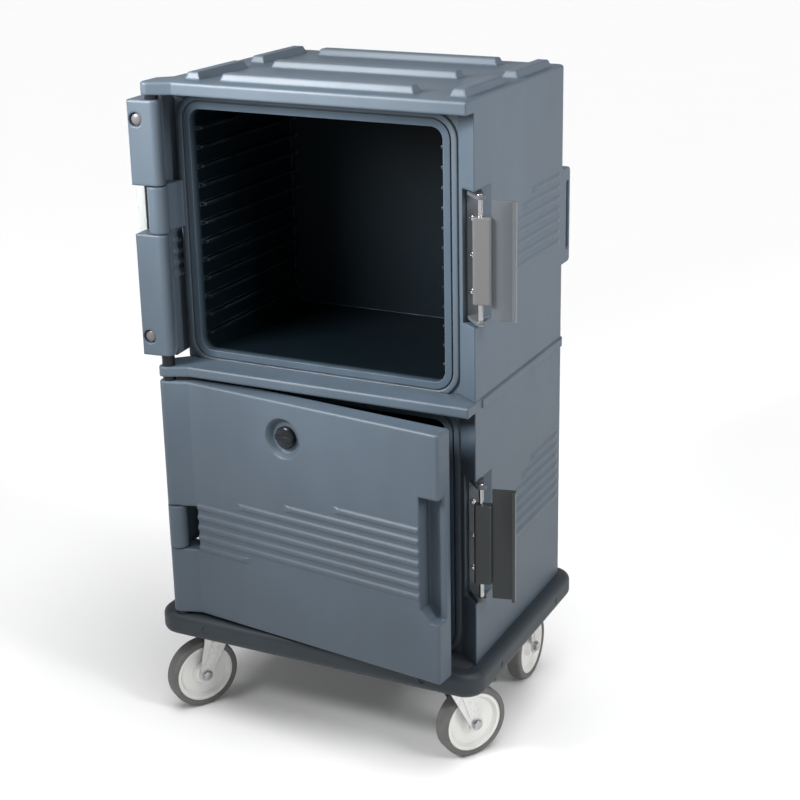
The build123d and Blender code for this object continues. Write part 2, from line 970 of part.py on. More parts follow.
def base_plate():
    """The deck under the shells, ribbed below between the caster pads."""
    solid = base_outline(base_bottom, base_top)
    inner = caster_x - plate_length / 2 - base_rib
    width = (2 * inner - (base_pocket_columns - 1) * base_rib) / base_pocket_columns
    y0 = base_y0 + base_rib
    y1 = base_y1 - base_rib
    for i in range(base_pocket_columns):
        x0 = -inner + i * (width + base_rib)
        for low, high in ((y0, -base_rib / 2), (base_rib / 2, y1)):
            solid -= block(x0, x0 + width, low, high, base_bottom, base_top - base_deck)
    for x, y in base_bolt_places():
        solid -= rod(x, y, base_bottom, base_top, base_bolt_radius)
    return solid


def bumper():
    """The rounded band round the base."""
    band = rounded_plan(bumper_half, bumper_y0, bumper_y1, bumper_corner, base_bottom, base_top)
    ends = band.faces().filter_by(Axis.Z)
    rims = [e for f in ends for e in f.edges()]
    band = fillet(rims, bumper_round)
    band -= base_outline(base_bottom, base_top)
    for x, y, turn in bumper_screw_places():
        band -= Pos(x, y, bumper_screw_z) * Rot(0, 0, turn) * bumper_screw()
    return band - rod(hinge_x, hinge_y, base_top - pin_seat, base_top, pin_radius + pin_play)


def bumper_screw():
    """A bumper screw, its head towards -Y, which is also the shape of its hole."""
    shank = Pos(0, bumper_thickness / 2, 0) * Rot(90, 0, 0)
    head = Pos(0, bumper_screw_head_height / 2, 0) * Rot(90, 0, 0)
    bar = shank * Cylinder(bumper_screw_radius, bumper_thickness)
    return bar + head * Cylinder(bumper_screw_head, bumper_screw_head_height)


def bumper_screw_places():
    """Place and turn of each bumper screw, on the outer face of the band."""
    reach = bumper_half - bumper_screw_inset
    middle_y = (bumper_y0 + bumper_y1) / 2
    half_depth = (bumper_y1 - bumper_y0) / 2 - bumper_screw_inset
    places = []
    for side in (-1, 1):
        places.append((side * reach, bumper_y0, 0))
        places.append((side * reach, bumper_y1, 180))
        places.append((bumper_half, middle_y + side * half_depth, 90))
        places.append((-bumper_half, middle_y + side * half_depth, -90))
    return places


def bumper_screws():
    """The screws through the bumper into the base."""
    screws = []
    for x, y, turn in bumper_screw_places():
        screws.append(Pos(x, y, bumper_screw_z) * Rot(0, 0, turn) * bumper_screw())
    return Compound(children=screws)


def base_bolts():
    """The bolts that hold the lower shell down to the base deck."""
    bolts = []
    for x, y in base_bolt_places():
        shank = rod(x, y, base_top - base_deck, base_top, base_bolt_radius)
        head_top = base_top - base_deck
        bolts.append(shank + rod(x, y, head_top - base_bolt_head_height, head_top, base_bolt_head))
    return Compound(children=bolts)


# Casters, drawn with the swivel axis at the origin and the wheel trailing along +X


def caster_plate():
    """The top plate with the upper swivel race pressed into it."""
    face = Pos(0, 0, plate_bottom) * RectangleRounded(plate_length, plate_width, plate_radius)
    plate = extrude(face, caster_plate_thickness, dir=(0, 0, 1))
    race = rod(0, 0, race_bottom, plate_bottom, race_radius)
    race = fillet(race.edges().group_by(Axis.Z)[0], race_round)
    solid = plate + race - rod(0, 0, race_bottom, base_bottom, kingpin_radius)
    for x, y in plate_bolt_places():
        solid -= rod(x, y, plate_bottom, base_bottom, plate_bolt_radius)
    return solid


def plate_bolt_places():
    """Plan places of the four bolts of a caster plate."""
    x = plate_length / 2 - plate_bolt_inset
    y = plate_width / 2 - plate_bolt_inset
    return [(sx * x, sy * y) for sx in (-1, 1) for sy in (-1, 1)]


def plate_bolts():
    """The four bolts of a caster plate, heads below."""
    bolts = []
    for x, y in plate_bolt_places():
        shank = rod(x, y, plate_bottom, base_bottom, plate_bolt_radius)
        outline = Pos(x, y, plate_bottom) * RegularPolygon(plate_bolt_head, hex_sides)
        bolts.append(shank + extrude(outline, -plate_bolt_head_height))
    return bolts


def kingpin():
    """The pin that holds the fork to the plate, with its head below the crown."""
    head_top = crown_bottom - race_play
    shank = rod(0, 0, head_top, base_bottom, kingpin_radius)
    return shank + rod(0, 0, head_top - kingpin_head_height, head_top, kingpin_head)


def fork_legs(offset, top):
    """Two tapered legs from a crown down to the axle bosses, each with a pressed rib."""
    outline = make_face(
        Polyline(
            (-fork_top_width / 2, top),
            (fork_top_width / 2, top),
            (offset + fork_boss, axle_z),
            (offset - fork_boss, axle_z),
            close=True,
        )
    )
    leg_face = outline + Pos(offset, axle_z) * Circle(fork_boss)
    legs = []
    for side in (-1, 1):
        inner = Plane(origin=(0, side * fork_inner, 0), x_dir=(1, 0, 0), z_dir=(0, -1, 0))
        outer = Plane(origin=(0, side * fork_outer, 0), x_dir=(1, 0, 0), z_dir=(0, -1, 0))
        out = (0, side, 0)
        legs.append(extrude(inner * leg_face, fork_thickness, dir=out))
        legs.append(extrude(outer * fork_rib_face(offset, top), fork_rib, dir=out))
    return legs


def fork_rib_face(offset, top):
    """The outline of the stiffening rib pressed into a leg, along the leg's middle line."""
    lean = offset / (top - axle_z)
    half = fork_rib_width / 2
    head = top - fork_rib_head
    foot = axle_z + fork_rib_foot
    head_x = (top - head) * lean
    foot_x = (top - foot) * lean
    corners = [(head_x - half, head), (head_x + half, head), (foot_x + half, foot), (foot_x - half, foot)]
    outline = make_face(Polyline(*corners, close=True))
    return outline + Pos(foot_x, foot) * Circle(half)


def swivel_fork(braked):
    """The fork of a swivel caster: crown, two legs and the axle holes."""
    crown = rod(0, 0, crown_bottom, crown_top, race_radius)
    half = fork_top_width / 2
    solid = crown + block(-half, half, -fork_outer, fork_outer, crown_bottom, crown_top)
    for leg in fork_legs(trail, crown_bottom):
        solid += leg
    solid -= rod(0, 0, crown_bottom, crown_top, kingpin_radius + race_play)
    if braked:
        pin_x, pin_z = pedal_pin()
        solid -= cross_rod(pin_x, pin_z, -fork_outer, fork_outer, pedal_pin_radius + axle_play)
    return solid - cross_rod(trail, axle_z, -fork_outer, fork_outer, axle_radius)


def rigid_fork():
    """The fork of a fixed caster: plate and legs in one stamping."""
    face = Pos(0, 0, plate_bottom) * RectangleRounded(plate_length, plate_width, plate_radius)
    solid = extrude(face, caster_plate_thickness, dir=(0, 0, 1))
    for leg in fork_legs(0, plate_bottom):
        solid += leg
    for x, y in plate_bolt_places():
        solid -= rod(x, y, plate_bottom, base_bottom, plate_bolt_radius)
    return solid - cross_rod(0, axle_z, -fork_outer, fork_outer, axle_radius)


def wheel_disc():
    """The wheel centre: hub, dished web and rim."""
    hub_width = 2 * (fork_inner - side_play)
    bore = axle_radius + axle_play
    rim_outer = wheel_radius - tread_thickness
    half_web = web_thickness / 2
    half_rim = rim_width / 2
    half_hub = hub_width / 2
    section = [
        (bore, half_hub),
        (hub_radius, half_hub),
        (hub_radius + half_web, half_web),
        (rim_outer - rim_thickness - half_web, half_web),
        (rim_outer - rim_thickness, half_rim),
        (rim_outer, half_rim),
    ]
    points = section + [(r, -h) for r, h in reversed(section)]
    face = make_face(Polyline(*[(r, 0, h) for r, h in points], close=True))
    return Rot(90, 0, 0) * revolve(face, Axis.Z)


def tread():
    """The rubber tread with rounded shoulders."""
    ring = Cylinder(wheel_radius, tread_width)
    ring = fillet(ring.edges().filter_by(GeomType.CIRCLE), tread_round)
    ring -= Cylinder(wheel_radius - tread_thickness, tread_width)
    return Rot(90, 0, 0) * ring


def axle():
    """The axle bolt through both legs, with its hexagon head and nut."""
    bolt = Rot(90, 0, 0) * Cylinder(axle_radius, 2 * fork_outer + nut_height)
    plane = Plane(origin=(0, fork_outer, 0), x_dir=(1, 0, 0), z_dir=(0, 1, 0))
    head = extrude(plane * RegularPolygon(nut_radius, hex_sides), nut_height)
    other = Plane(origin=(0, -fork_outer, 0), x_dir=(1, 0, 0), z_dir=(0, -1, 0))
    nut = extrude(other * RegularPolygon(nut_radius, hex_sides), nut_height)
    return bolt + head + nut


def brake_pedal():
    """The pedal over the tread, with an upturned toe lip, on a pin through the fork legs."""
    pin_x, pin_z = pedal_pin()
    pin = cross_rod(pin_x, pin_z, -fork_outer, fork_outer, pedal_pin_radius)
    half = pedal_width / 2
    low = pin_z - pedal_thickness / 2
    toe = pin_x + pedal_length
    plate = block(pin_x, toe, -half, half, low, low + pedal_thickness)
    lip_plate = block(toe - pedal_thickness, toe, -half, half, low, low + pedal_lip)
    return plate + lip_plate + pin


def pedal_pin():
    """Place of the pedal pin from the swivel axis and the floor."""
    return trail + pedal_pin_ahead, crown_bottom - pedal_pin_drop


def at_caster(shape, x, y, turn):
    """Sets a caster piece under the base at its swivel place and turn."""
    return Pos(x, y, 0) * Rot(0, 0, turn) * shape


def at_axle(shape, offset):
    """Moves a wheel piece from the origin to the axle of a caster."""
    return Pos(offset, 0, axle_z) * shape


for bay in (upper, lower):
    pieces[f"{bay.name}_liner"] = liner(bay)
    pieces[f"{bay.name}_foam"] = foam(bay)
    pieces[f"{bay.name}_hinge_pin"] = hinge_pin(bay)
    pieces[f"{bay.name}_hinge_bushes"] = hinge_bushes(bay)
    pieces[f"{bay.name}_door_shell"] = door_shell(bay)
    pieces[f"{bay.name}_door_foam"] = door_foam(bay)
    pieces[f"{bay.name}_door_panel"] = door_panel(bay)
    pieces[f"{bay.name}_door_gasket"] = door_gasket(bay)
    pieces[f"{bay.name}_vent_cap"] = vent_cap(bay)
    pieces[f"{bay.name}_hinge_end_screws"] = hinge_end_screws(bay)
    pieces[f"{bay.name}_latch_bracket"] = latch_bracket(bay)
    pieces[f"{bay.name}_latch_lever"] = latch_lever(bay)
    pieces[f"{bay.name}_latch_grip"] = latch_grip(bay)
    pieces[f"{bay.name}_latch_rod"] = latch_rod(bay)
    pieces[f"{bay.name}_latch_screws"] = latch_screws(bay)
pieces["upper_shell"] = upper_shell()
pieces["lower_shell"] = lower_shell()
pieces["base_plate"] = base_plate()
pieces["bumper"] = bumper()
pieces["bumper_screws"] = bumper_screws()
pieces["base_bolts"] = base_bolts()

all_plate_bolts = []
braked_caster = "front_right"
swivels = {
    "front_left": (-caster_x, front_caster_y, front_left_angle),
    "front_right": (caster_x, front_caster_y, front_right_angle),
}
for name, place in swivels.items():
    pieces[f"{name}_caster_plate"] = Pos(place[0], place[1], 0) * caster_plate()
    pieces[f"{name}_kingpin"] = Pos(place[0], place[1], 0) * kingpin()
    pieces[f"{name}_fork"] = at_caster(swivel_fork(name == braked_caster), *place)
    pieces[f"{name}_wheel_disc"] = at_caster(at_axle(wheel_disc(), trail), *place)
    pieces[f"{name}_tread"] = at_caster(at_axle(tread(), trail), *place)
    pieces[f"{name}_axle"] = at_caster(at_axle(axle(), trail), *place)
    all_plate_bolts += [Pos(place[0], place[1], 0) * bolt for bolt in plate_bolts()]
pieces["brake_pedal"] = at_caster(brake_pedal(), *swivels[braked_caster])

rigids = {
    "rear_left": (-caster_x, rear_caster_y, rear_angle),
    "rear_right": (caster_x, rear_caster_y, rear_angle),
}
for name, place in rigids.items():
    pieces[f"{name}_fork"] = at_caster(rigid_fork(), *place)
    pieces[f"{name}_wheel_disc"] = at_caster(at_axle(wheel_disc(), 0), *place)
    pieces[f"{name}_tread"] = at_caster(at_axle(tread(), 0), *place)
    pieces[f"{name}_axle"] = at_caster(at_axle(axle(), 0), *place)
    all_plate_bolts += [at_caster(bolt, *place) for bolt in plate_bolts()]
pieces["caster_plate_bolts"] = Compound(children=all_plate_bolts)

os.makedirs("parts", exist_ok=True)
for name, shape in pieces.items():
    export_step(shape, f"parts/{name}.step")
print(len(pieces), "pieces")
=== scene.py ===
"""Insulated pan carrier: finishes, seals, fasteners, floor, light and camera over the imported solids."""

import json
import logging
import math
from dataclasses import dataclass
from enum import Enum
from typing import Any, Callable

import bmesh
import bpy
from mathutils import Matrix, Vector

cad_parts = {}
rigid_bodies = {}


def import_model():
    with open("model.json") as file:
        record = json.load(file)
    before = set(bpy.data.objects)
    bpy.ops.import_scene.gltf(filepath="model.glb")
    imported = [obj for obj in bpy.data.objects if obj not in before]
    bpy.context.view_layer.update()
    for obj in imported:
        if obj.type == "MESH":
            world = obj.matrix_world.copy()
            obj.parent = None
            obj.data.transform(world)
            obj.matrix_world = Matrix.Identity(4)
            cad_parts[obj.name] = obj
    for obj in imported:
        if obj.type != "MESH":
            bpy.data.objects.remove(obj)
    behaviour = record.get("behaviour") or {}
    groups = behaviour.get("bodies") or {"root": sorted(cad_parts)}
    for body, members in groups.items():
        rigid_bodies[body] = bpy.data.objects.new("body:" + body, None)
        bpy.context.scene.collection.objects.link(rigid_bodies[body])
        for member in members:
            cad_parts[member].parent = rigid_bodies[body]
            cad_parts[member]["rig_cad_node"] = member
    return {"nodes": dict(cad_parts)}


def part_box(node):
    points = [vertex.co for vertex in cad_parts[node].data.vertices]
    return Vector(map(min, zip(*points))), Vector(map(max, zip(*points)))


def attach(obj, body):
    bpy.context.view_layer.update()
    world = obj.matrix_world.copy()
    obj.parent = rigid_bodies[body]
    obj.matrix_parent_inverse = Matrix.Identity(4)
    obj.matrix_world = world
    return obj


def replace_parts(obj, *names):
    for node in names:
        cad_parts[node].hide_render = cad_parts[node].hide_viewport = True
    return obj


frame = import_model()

log = logging.getLogger("carrier")
Colour = tuple[float, float, float]
Point = tuple[float, float, float]
Test = Callable[[Vector, Vector], bool]

# Directions of the frame, and the cosine above which a face looks along one of them
LEFT = Vector((-1, 0, 0))
RIGHT = Vector((1, 0, 0))
FRONT = Vector((0, -1, 0))
BACK = Vector((0, 1, 0))
UP = Vector((0, 0, 1))
DOWN = Vector((0, 0, -1))
LOOKING = 0.9

# The middle of a noise that runs from 0 to 1
MIDDLE = 0.5


class Wire:
    """A value socket of a shader tree that takes part in Python sums."""

    def __init__(self, tree: bpy.types.NodeTree, socket: bpy.types.NodeSocket) -> None:
        """Keeps the tree and the socket that carries the value."""
        self.tree = tree
        self.socket = socket

    def maths(
        self, operation: str, first: "Wire | float", second: "Wire | float", clamp: bool = False
    ) -> "Wire":
        """Adds a Math node.

        Args:
            operation: what the node works out.
            first: its upper value.
            second: its lower value.
            clamp: whether the result stays between 0 and 1.

        Returns:
            The result as a new value.
        """
        node = self.tree.nodes.new("ShaderNodeMath")
        node.operation = operation
        node.use_clamp = clamp
        for place, value in zip(node.inputs, (first, second)):
            if isinstance(value, Wire):
                self.tree.links.new(value.socket, place)
            else:
                place.default_value = value
        return Wire(self.tree, node.outputs[0])

    def __add__(self, other: "Wire | float") -> "Wire":
        """Sum."""
        return self.maths("ADD", self, other)

    def __radd__(self, other: float) -> "Wire":
        """Sum with the number first."""
        return self.maths("ADD", other, self)

    def __sub__(self, other: "Wire | float") -> "Wire":
        """Difference."""
        return self.maths("SUBTRACT", self, other)

    def __rsub__(self, other: float) -> "Wire":
        """Difference with the number first."""
        return self.maths("SUBTRACT", other, self)

    def __mul__(self, other: "Wire | float") -> "Wire":
        """Product."""
        return self.maths("MULTIPLY", self, other)

    def __rmul__(self, other: float) -> "Wire":
        """Product with the number first."""
        return self.maths("MULTIPLY", other, self)

    def sway(self, amount: float) -> "Wire":
        """How far the value is from its middle, times an amount."""
        return (self - MIDDLE) * amount

    def limited(self) -> "Wire":
        """The value kept between 0 and 1."""
        return self.maths("ADD", self, 0.0, clamp=True)


class Tree:
    """A shader tree and the ways to add nodes to it."""

    def __init__(self, tree: bpy.types.NodeTree) -> None:
        """Keeps the tree."""
        self.tree = tree

    def feed(self, socket: bpy.types.NodeSocket, value: Any) -> None:
        """Links a value or a socket to an input, or sets the input's own number.

        Args:
            socket: the input.
            value: a wire, a socket, a number or a tuple.
        """
        if isinstance(value, Wire):
            self.tree.links.new(value.socket, socket)
        elif isinstance(value, bpy.types.NodeSocket):
            self.tree.links.new(value, socket)
        else:
            socket.default_value = value

    def node(
        self, kind: str, settings: dict[str, Any] | None = None, inputs: dict[str | int, Any] | None = None
    ) -> bpy.types.Node:
        """Adds any node.

        Args:
            kind: the node's type.
            settings: properties that are set first.
            inputs: values or links for its sockets, by name or number.

        Returns:
            The node.
        """
        node = self.tree.nodes.new(kind)
        for name, value in (settings or {}).items():
            setattr(node, name, value)
        for name, value in (inputs or {}).items():
            self.feed(node.inputs[name], value)
        return node

    def part(self, vector: bpy.types.NodeSocket, axis: int) -> Wire:
        """One part of a vector.

        Args:
            vector: what is taken apart.
            axis: 0 for X, 1 for Y, 2 for Z.

        Returns:
            That part.
        """
        parts = self.node("ShaderNodeSeparateXYZ", inputs={"Vector": vector})
        return Wire(self.tree, parts.outputs[axis])

    def ramp(self, value: Wire, low: float, high: float) -> Wire:
        """Stretches the part of a value between two levels to 0 and 1.

        Args:
            value: what is stretched.
            low: the level that becomes 0.
            high: the level that becomes 1.

        Returns:
            The stretched value, clamped.
        """
        inputs = {"Value": value, "From Min": low, "From Max": high}
        stretched = self.node("ShaderNodeMapRange", {"clamp": True}, inputs)
        return Wire(self.tree, stretched.outputs["Result"])

    def blend(self, factor: Wire, first: Any, second: Any) -> bpy.types.NodeSocket:
        """Mixes two colours.

        Args:
            factor: share of the second colour.
            first: a colour or a colour socket.
            second: a colour or a colour socket.

        Returns:
            The mixed colour.
        """
        colours = [(*c, 1.0) if isinstance(c, tuple) else c for c in (first, second)]
        # The node has sockets of one name for each data type, so its colour sockets go by number
        inputs = {0: factor, 6: colours[0], 7: colours[1]}
        return self.node("ShaderNodeMix", {"data_type": "RGBA"}, inputs).outputs[2]


class Paint(Tree):
    """A material in the making, with one principled shader."""

    BEVEL_SAMPLES = 6
    EDGE_LEVELS = (0.01, 0.25)

    def __init__(self, name: str) -> None:
        """Starts an empty material of that name."""
        self.material = bpy.data.materials.new(name)
        self.material.use_nodes = True
        super().__init__(self.material.node_tree)
        self.shader = next(n for n in self.tree.nodes if n.type == "BSDF_PRINCIPLED")
        self.place = self.node("ShaderNodeTexCoord").outputs["Object"]

    def stretched(self, stretch: Point) -> bpy.types.NodeSocket:
        """Object coordinates with their axes scaled.

        Args:
            stretch: factor for each axis.

        Returns:
            The scaled coordinates.
        """
        mapping = self.node("ShaderNodeMapping", inputs={"Vector": self.place, "Scale": stretch})
        return mapping.outputs["Vector"]

    def noise(self, scale: float, detail: float = 2.0, stretch: Point = (1.0, 1.0, 1.0)) -> Wire:
        """Soft noise between 0 and 1.

        Args:
            scale: features for each metre.
            detail: octaves.
            stretch: factor for each axis.

        Returns:
            The noise value.
        """
        inputs = {"Vector": self.stretched(stretch), "Scale": scale, "Detail": detail}
        return Wire(self.tree, self.node("ShaderNodeTexNoise", inputs=inputs).outputs["Fac"])

    def cells(self, scale: float) -> Wire:
        """Random tone for each cell of a crystal pattern.

        Args:
            scale: cells for each metre.

        Returns:
            The tone between 0 and 1.
        """
        cells = self.node("ShaderNodeTexVoronoi", inputs={"Vector": self.place, "Scale": scale})
        grey = self.node("ShaderNodeSeparateColor", inputs={"Color": cells.outputs["Color"]})
        return Wire(self.tree, grey.outputs[0])

    def rounded(self, radius: float) -> bpy.types.NodeSocket:
        """The surface normal with edges softened to a radius.

        Args:
            radius: of the soft edge.

        Returns:
            The normal.
        """
        settings = {"samples": self.BEVEL_SAMPLES}
        return self.node("ShaderNodeBevel", settings, {"Radius": radius}).outputs["Normal"]

    def edges(self, normal: bpy.types.NodeSocket) -> Wire:
        """Where a softened normal leaves the true one, which is along the edges.

        Args:
            normal: the softened normal.

        Returns:
            1 at an edge and 0 away from it.
        """
        true = self.node("ShaderNodeNewGeometry").outputs["Normal"]
        match = self.node("ShaderNodeVectorMath", {"operation": "DOT_PRODUCT"}, {0: normal, 1: true})
        return self.ramp(1.0 - Wire(self.tree, match.outputs["Value"]), *self.EDGE_LEVELS)

    def relief(
        self, height: Wire, depth: float, normal: bpy.types.NodeSocket | None = None
    ) -> bpy.types.NodeSocket:
        """Turns a height into a normal.

        Args:
            height: between 0 and 1.
            depth: what a height of 1 stands for, in metres.
            normal: a normal to start from.

        Returns:
            The bumped normal.
        """
        inputs: dict[str | int, Any] = {"Height": height, "Distance": depth, "Strength": 1.0}
        if normal is not None:
            inputs["Normal"] = normal
        return self.node("ShaderNodeBump", inputs=inputs).outputs["Normal"]

    def done(self, **inputs: Any) -> bpy.types.Material:
        """Feeds the shader and gives the finished material.

        Args:
            inputs: the shader's sockets, with _ for a space.

        Returns:
            The material.
        """
        for name, value in inputs.items():
            self.feed(self.shader.inputs[name.replace("_", " ")], value)
        return self.material


def shaded(tone: Colour, factor: float) -> Colour:
    """A colour made lighter or darker.

    Args:
        tone: the colour.
        factor: above 1 for lighter.

    Returns:
        The new colour.
    """
    return tuple(min(1.0, part * factor) for part in tone)


class Grain(Enum):
    """Which way a metal was drawn or brushed."""

    ALONG_Z = (1.0, 1.0, 0.05)
    NONE = (1.0, 1.0, 1.0)


@dataclass(frozen=True)
class Moulded:
    """Moulded plastic with soft edges, an orange peel skin, faint flow marks and lightened edges: rubbed
    wear, and on the liner painted highlights.
    """

    name: str
    tone: Colour
    roughness: float = 0.47
    mottle: float = 0.16
    peel: float = 0.00005
    edge: float = 0.003
    rub_and_highlight: float = 1.35
    shine: float = 0.4
    # Features for each metre
    cloud_scale: float = 5.0
    flow_scale: float = 16.0
    flow_stretch: Point = (1.0, 1.0, 0.3)
    speck_scale: float = 900.0
    skin_scale: float = 420.0
    # How much each pattern moves the tone, the gloss and the relief
    cloud_tone: float = 1.1
    flow_tone: float = 0.7
    speck_tone: float = 0.6
    cloud_gloss: float = 0.16
    skin_gloss: float = 0.1
    skin_relief: float = 0.7
    speck_relief: float = 0.3
    # Lightened edges, rubbed wear and on the liner painted highlights: the levels of flow between which it
    # sets in, and its strength
    wear_levels: tuple[float, float] = (0.3, 0.7)
    wear: float = 0.6

    def mottled(self, p: Paint, share: Wire, tone: Colour) -> bpy.types.NodeSocket:
        """A tone that runs a little lighter and darker.

        Args:
            p: the material in the making.
            share: of the lighter colour.
            tone: the middle colour.

        Returns:
            The colour.
        """
        return p.blend(share, shaded(tone, 1 - self.mottle), shaded(tone, 1 + self.mottle))

    def ground(self, p: Paint, share: Wire) -> bpy.types.NodeSocket:
        """The colour before wear.

        Args:
            p: the material in the making.
            share: of the lighter colour.

        Returns:
            The colour.
        """
        return self.mottled(p, share, self.tone)

    def paint(self) -> bpy.types.Material:
        """The material of this plastic."""
        p = Paint(self.name)
        soft = p.rounded(self.edge)
        cloud = p.noise(self.cloud_scale, detail=3.0)
        flow = p.noise(self.flow_scale, detail=4.0, stretch=self.flow_stretch)
        speck = p.noise(self.speck_scale)
        skin = p.noise(self.skin_scale, detail=3.0)
        clouded = MIDDLE + cloud.sway(self.cloud_tone) + flow.sway(self.flow_tone)
        share = (clouded + speck.sway(self.speck_tone)).limited()
        colour = self.ground(p, share)
        # Edges lighten: rubbed wear, and painted highlights where the liner's rail ends catch light
        worn_and_lit = p.edges(soft) * p.ramp(flow, *self.wear_levels) * self.wear
        colour = p.blend(worn_and_lit, colour, shaded(self.tone, self.rub_and_highlight))
        gloss = self.roughness + cloud.sway(self.cloud_gloss) + skin.sway(self.skin_gloss)
        normal = p.relief(skin * self.skin_relief + speck * self.speck_relief, self.peel, soft)
        return p.done(Base_Color=colour, Roughness=gloss, Normal=normal, Specular_IOR_Level=self.shine)


@dataclass(frozen=True)
class LinerWithPaintedShade(Moulded):
    """Plastic of a liner: the tone of the shell on its front flange, and painted shade inside, darker
    going back into the compartment where shadow falls.
    """

    # The colour of the painted shade inside the compartment
    inside: Colour = (0.0022, 0.005, 0.007)
    # Where along Y the painted shade sets in, and over how long
    front: float = -0.186
    run: float = 0.022

    def ground(self, p: Paint, share: Wire) -> bpy.types.NodeSocket:
        """The colour before wear, which goes from the flange into the painted shade inside.

        Args:
            p: the material in the making.
            share: of the lighter colour.

        Returns:
            The colour.
        """
        # Painted shade: the colour darkens from the flange back into the compartment
        depth = p.ramp(p.part(p.place, 1), self.front, self.front + self.run)
        return p.blend(depth, super().ground(p, share), self.mottled(p, share, self.inside))


@dataclass(frozen=True)
class Metal:
    """Bare or plated metal with fine drawing lines and small stains."""

    name: str
    tone: Colour
    roughness: float
    grain: Grain
    spangle: float = 0.0
    edge: float = 0.0008
    line_scale: float = 1600.0
    line_depth: float = 0.000012
    line_gloss: float = 0.12
    stain_scale: float = 30.0
    stain_tone: float = 0.8
    stain_gloss: float = 0.12
    spangle_scale: float = 260.0
    dark: float = 0.82
    light: float = 1.08

    def paint(self) -> bpy.types.Material:
        """The material of this metal."""
        p = Paint(self.name)
        soft = p.rounded(self.edge)
        lines = p.noise(self.line_scale, stretch=self.grain.value)
        stain = p.noise(self.stain_scale, detail=4.0)
        spangles = p.cells(self.spangle_scale).sway(self.spangle)
        share = (MIDDLE + stain.sway(self.stain_tone) + spangles).limited()
        colour = p.blend(share, shaded(self.tone, self.dark), shaded(self.tone, self.light))
        gloss = self.roughness + lines.sway(self.line_gloss) + stain.sway(self.stain_gloss)
        normal = p.relief(lines, self.line_depth, soft)
        return p.done(Base_Color=colour, Roughness=gloss, Metallic=1.0, Normal=normal)


@dataclass(frozen=True)
class Rubber:
    """Matt rubber with a fine pitted skin and a film of dust."""

    name: str
    tone: Colour
    dust: float
    edge: float = 0.0015
    roughness: float = 0.66
    dust_tone: Colour = (0.36, 0.35, 0.33)
    dust_gloss: float = 0.2
    film_scale: float = 45.0
    film_levels: tuple[float, float] = (0.42, 0.72)
    pit_scale: float = 1100.0
    pit_depth: float = 0.00006
    pit_start: float = 0.35
    pit_tone: float = 0.4
    dark: float = 0.8
    light: float = 1.15

    def paint(self) -> bpy.types.Material:
        """The material of this rubber."""
        p = Paint(self.name)
        soft = p.rounded(self.edge)
        film = p.ramp(p.noise(self.film_scale, detail=5.0), *self.film_levels)
        pits = p.noise(self.pit_scale)
        shade = (self.pit_start + pits * self.pit_tone).limited()
        colour = p.blend(shade, shaded(self.tone, self.dark), shaded(self.tone, self.light))
        colour = p.blend(film * self.dust, colour, self.dust_tone)
        gloss = self.roughness + film * self.dust_gloss
        return p.done(Base_Color=colour, Roughness=gloss, Normal=p.relief(pits, self.pit_depth, soft))


@dataclass(frozen=True)
class Foamed:
    """Open cut insulation foam with cells."""

    name: str
    tone: Colour
    pore_scale: float = 700.0
    pore_depth: float = 0.0003
    roughness: float = 0.9
    dark: float = 0.8
    light: float = 1.1

    def paint(self) -> bpy.types.Material:
        """The material of this foam."""
        p = Paint(self.name)
        pores = p.cells(self.pore_scale)
        colour = p.blend(pores, shaded(self.tone, self.dark), shaded(self.tone, self.light))
        normal = p.relief(pores, self.pore_depth)
        return p.done(Base_Color=colour, Roughness=self.roughness, Normal=normal)


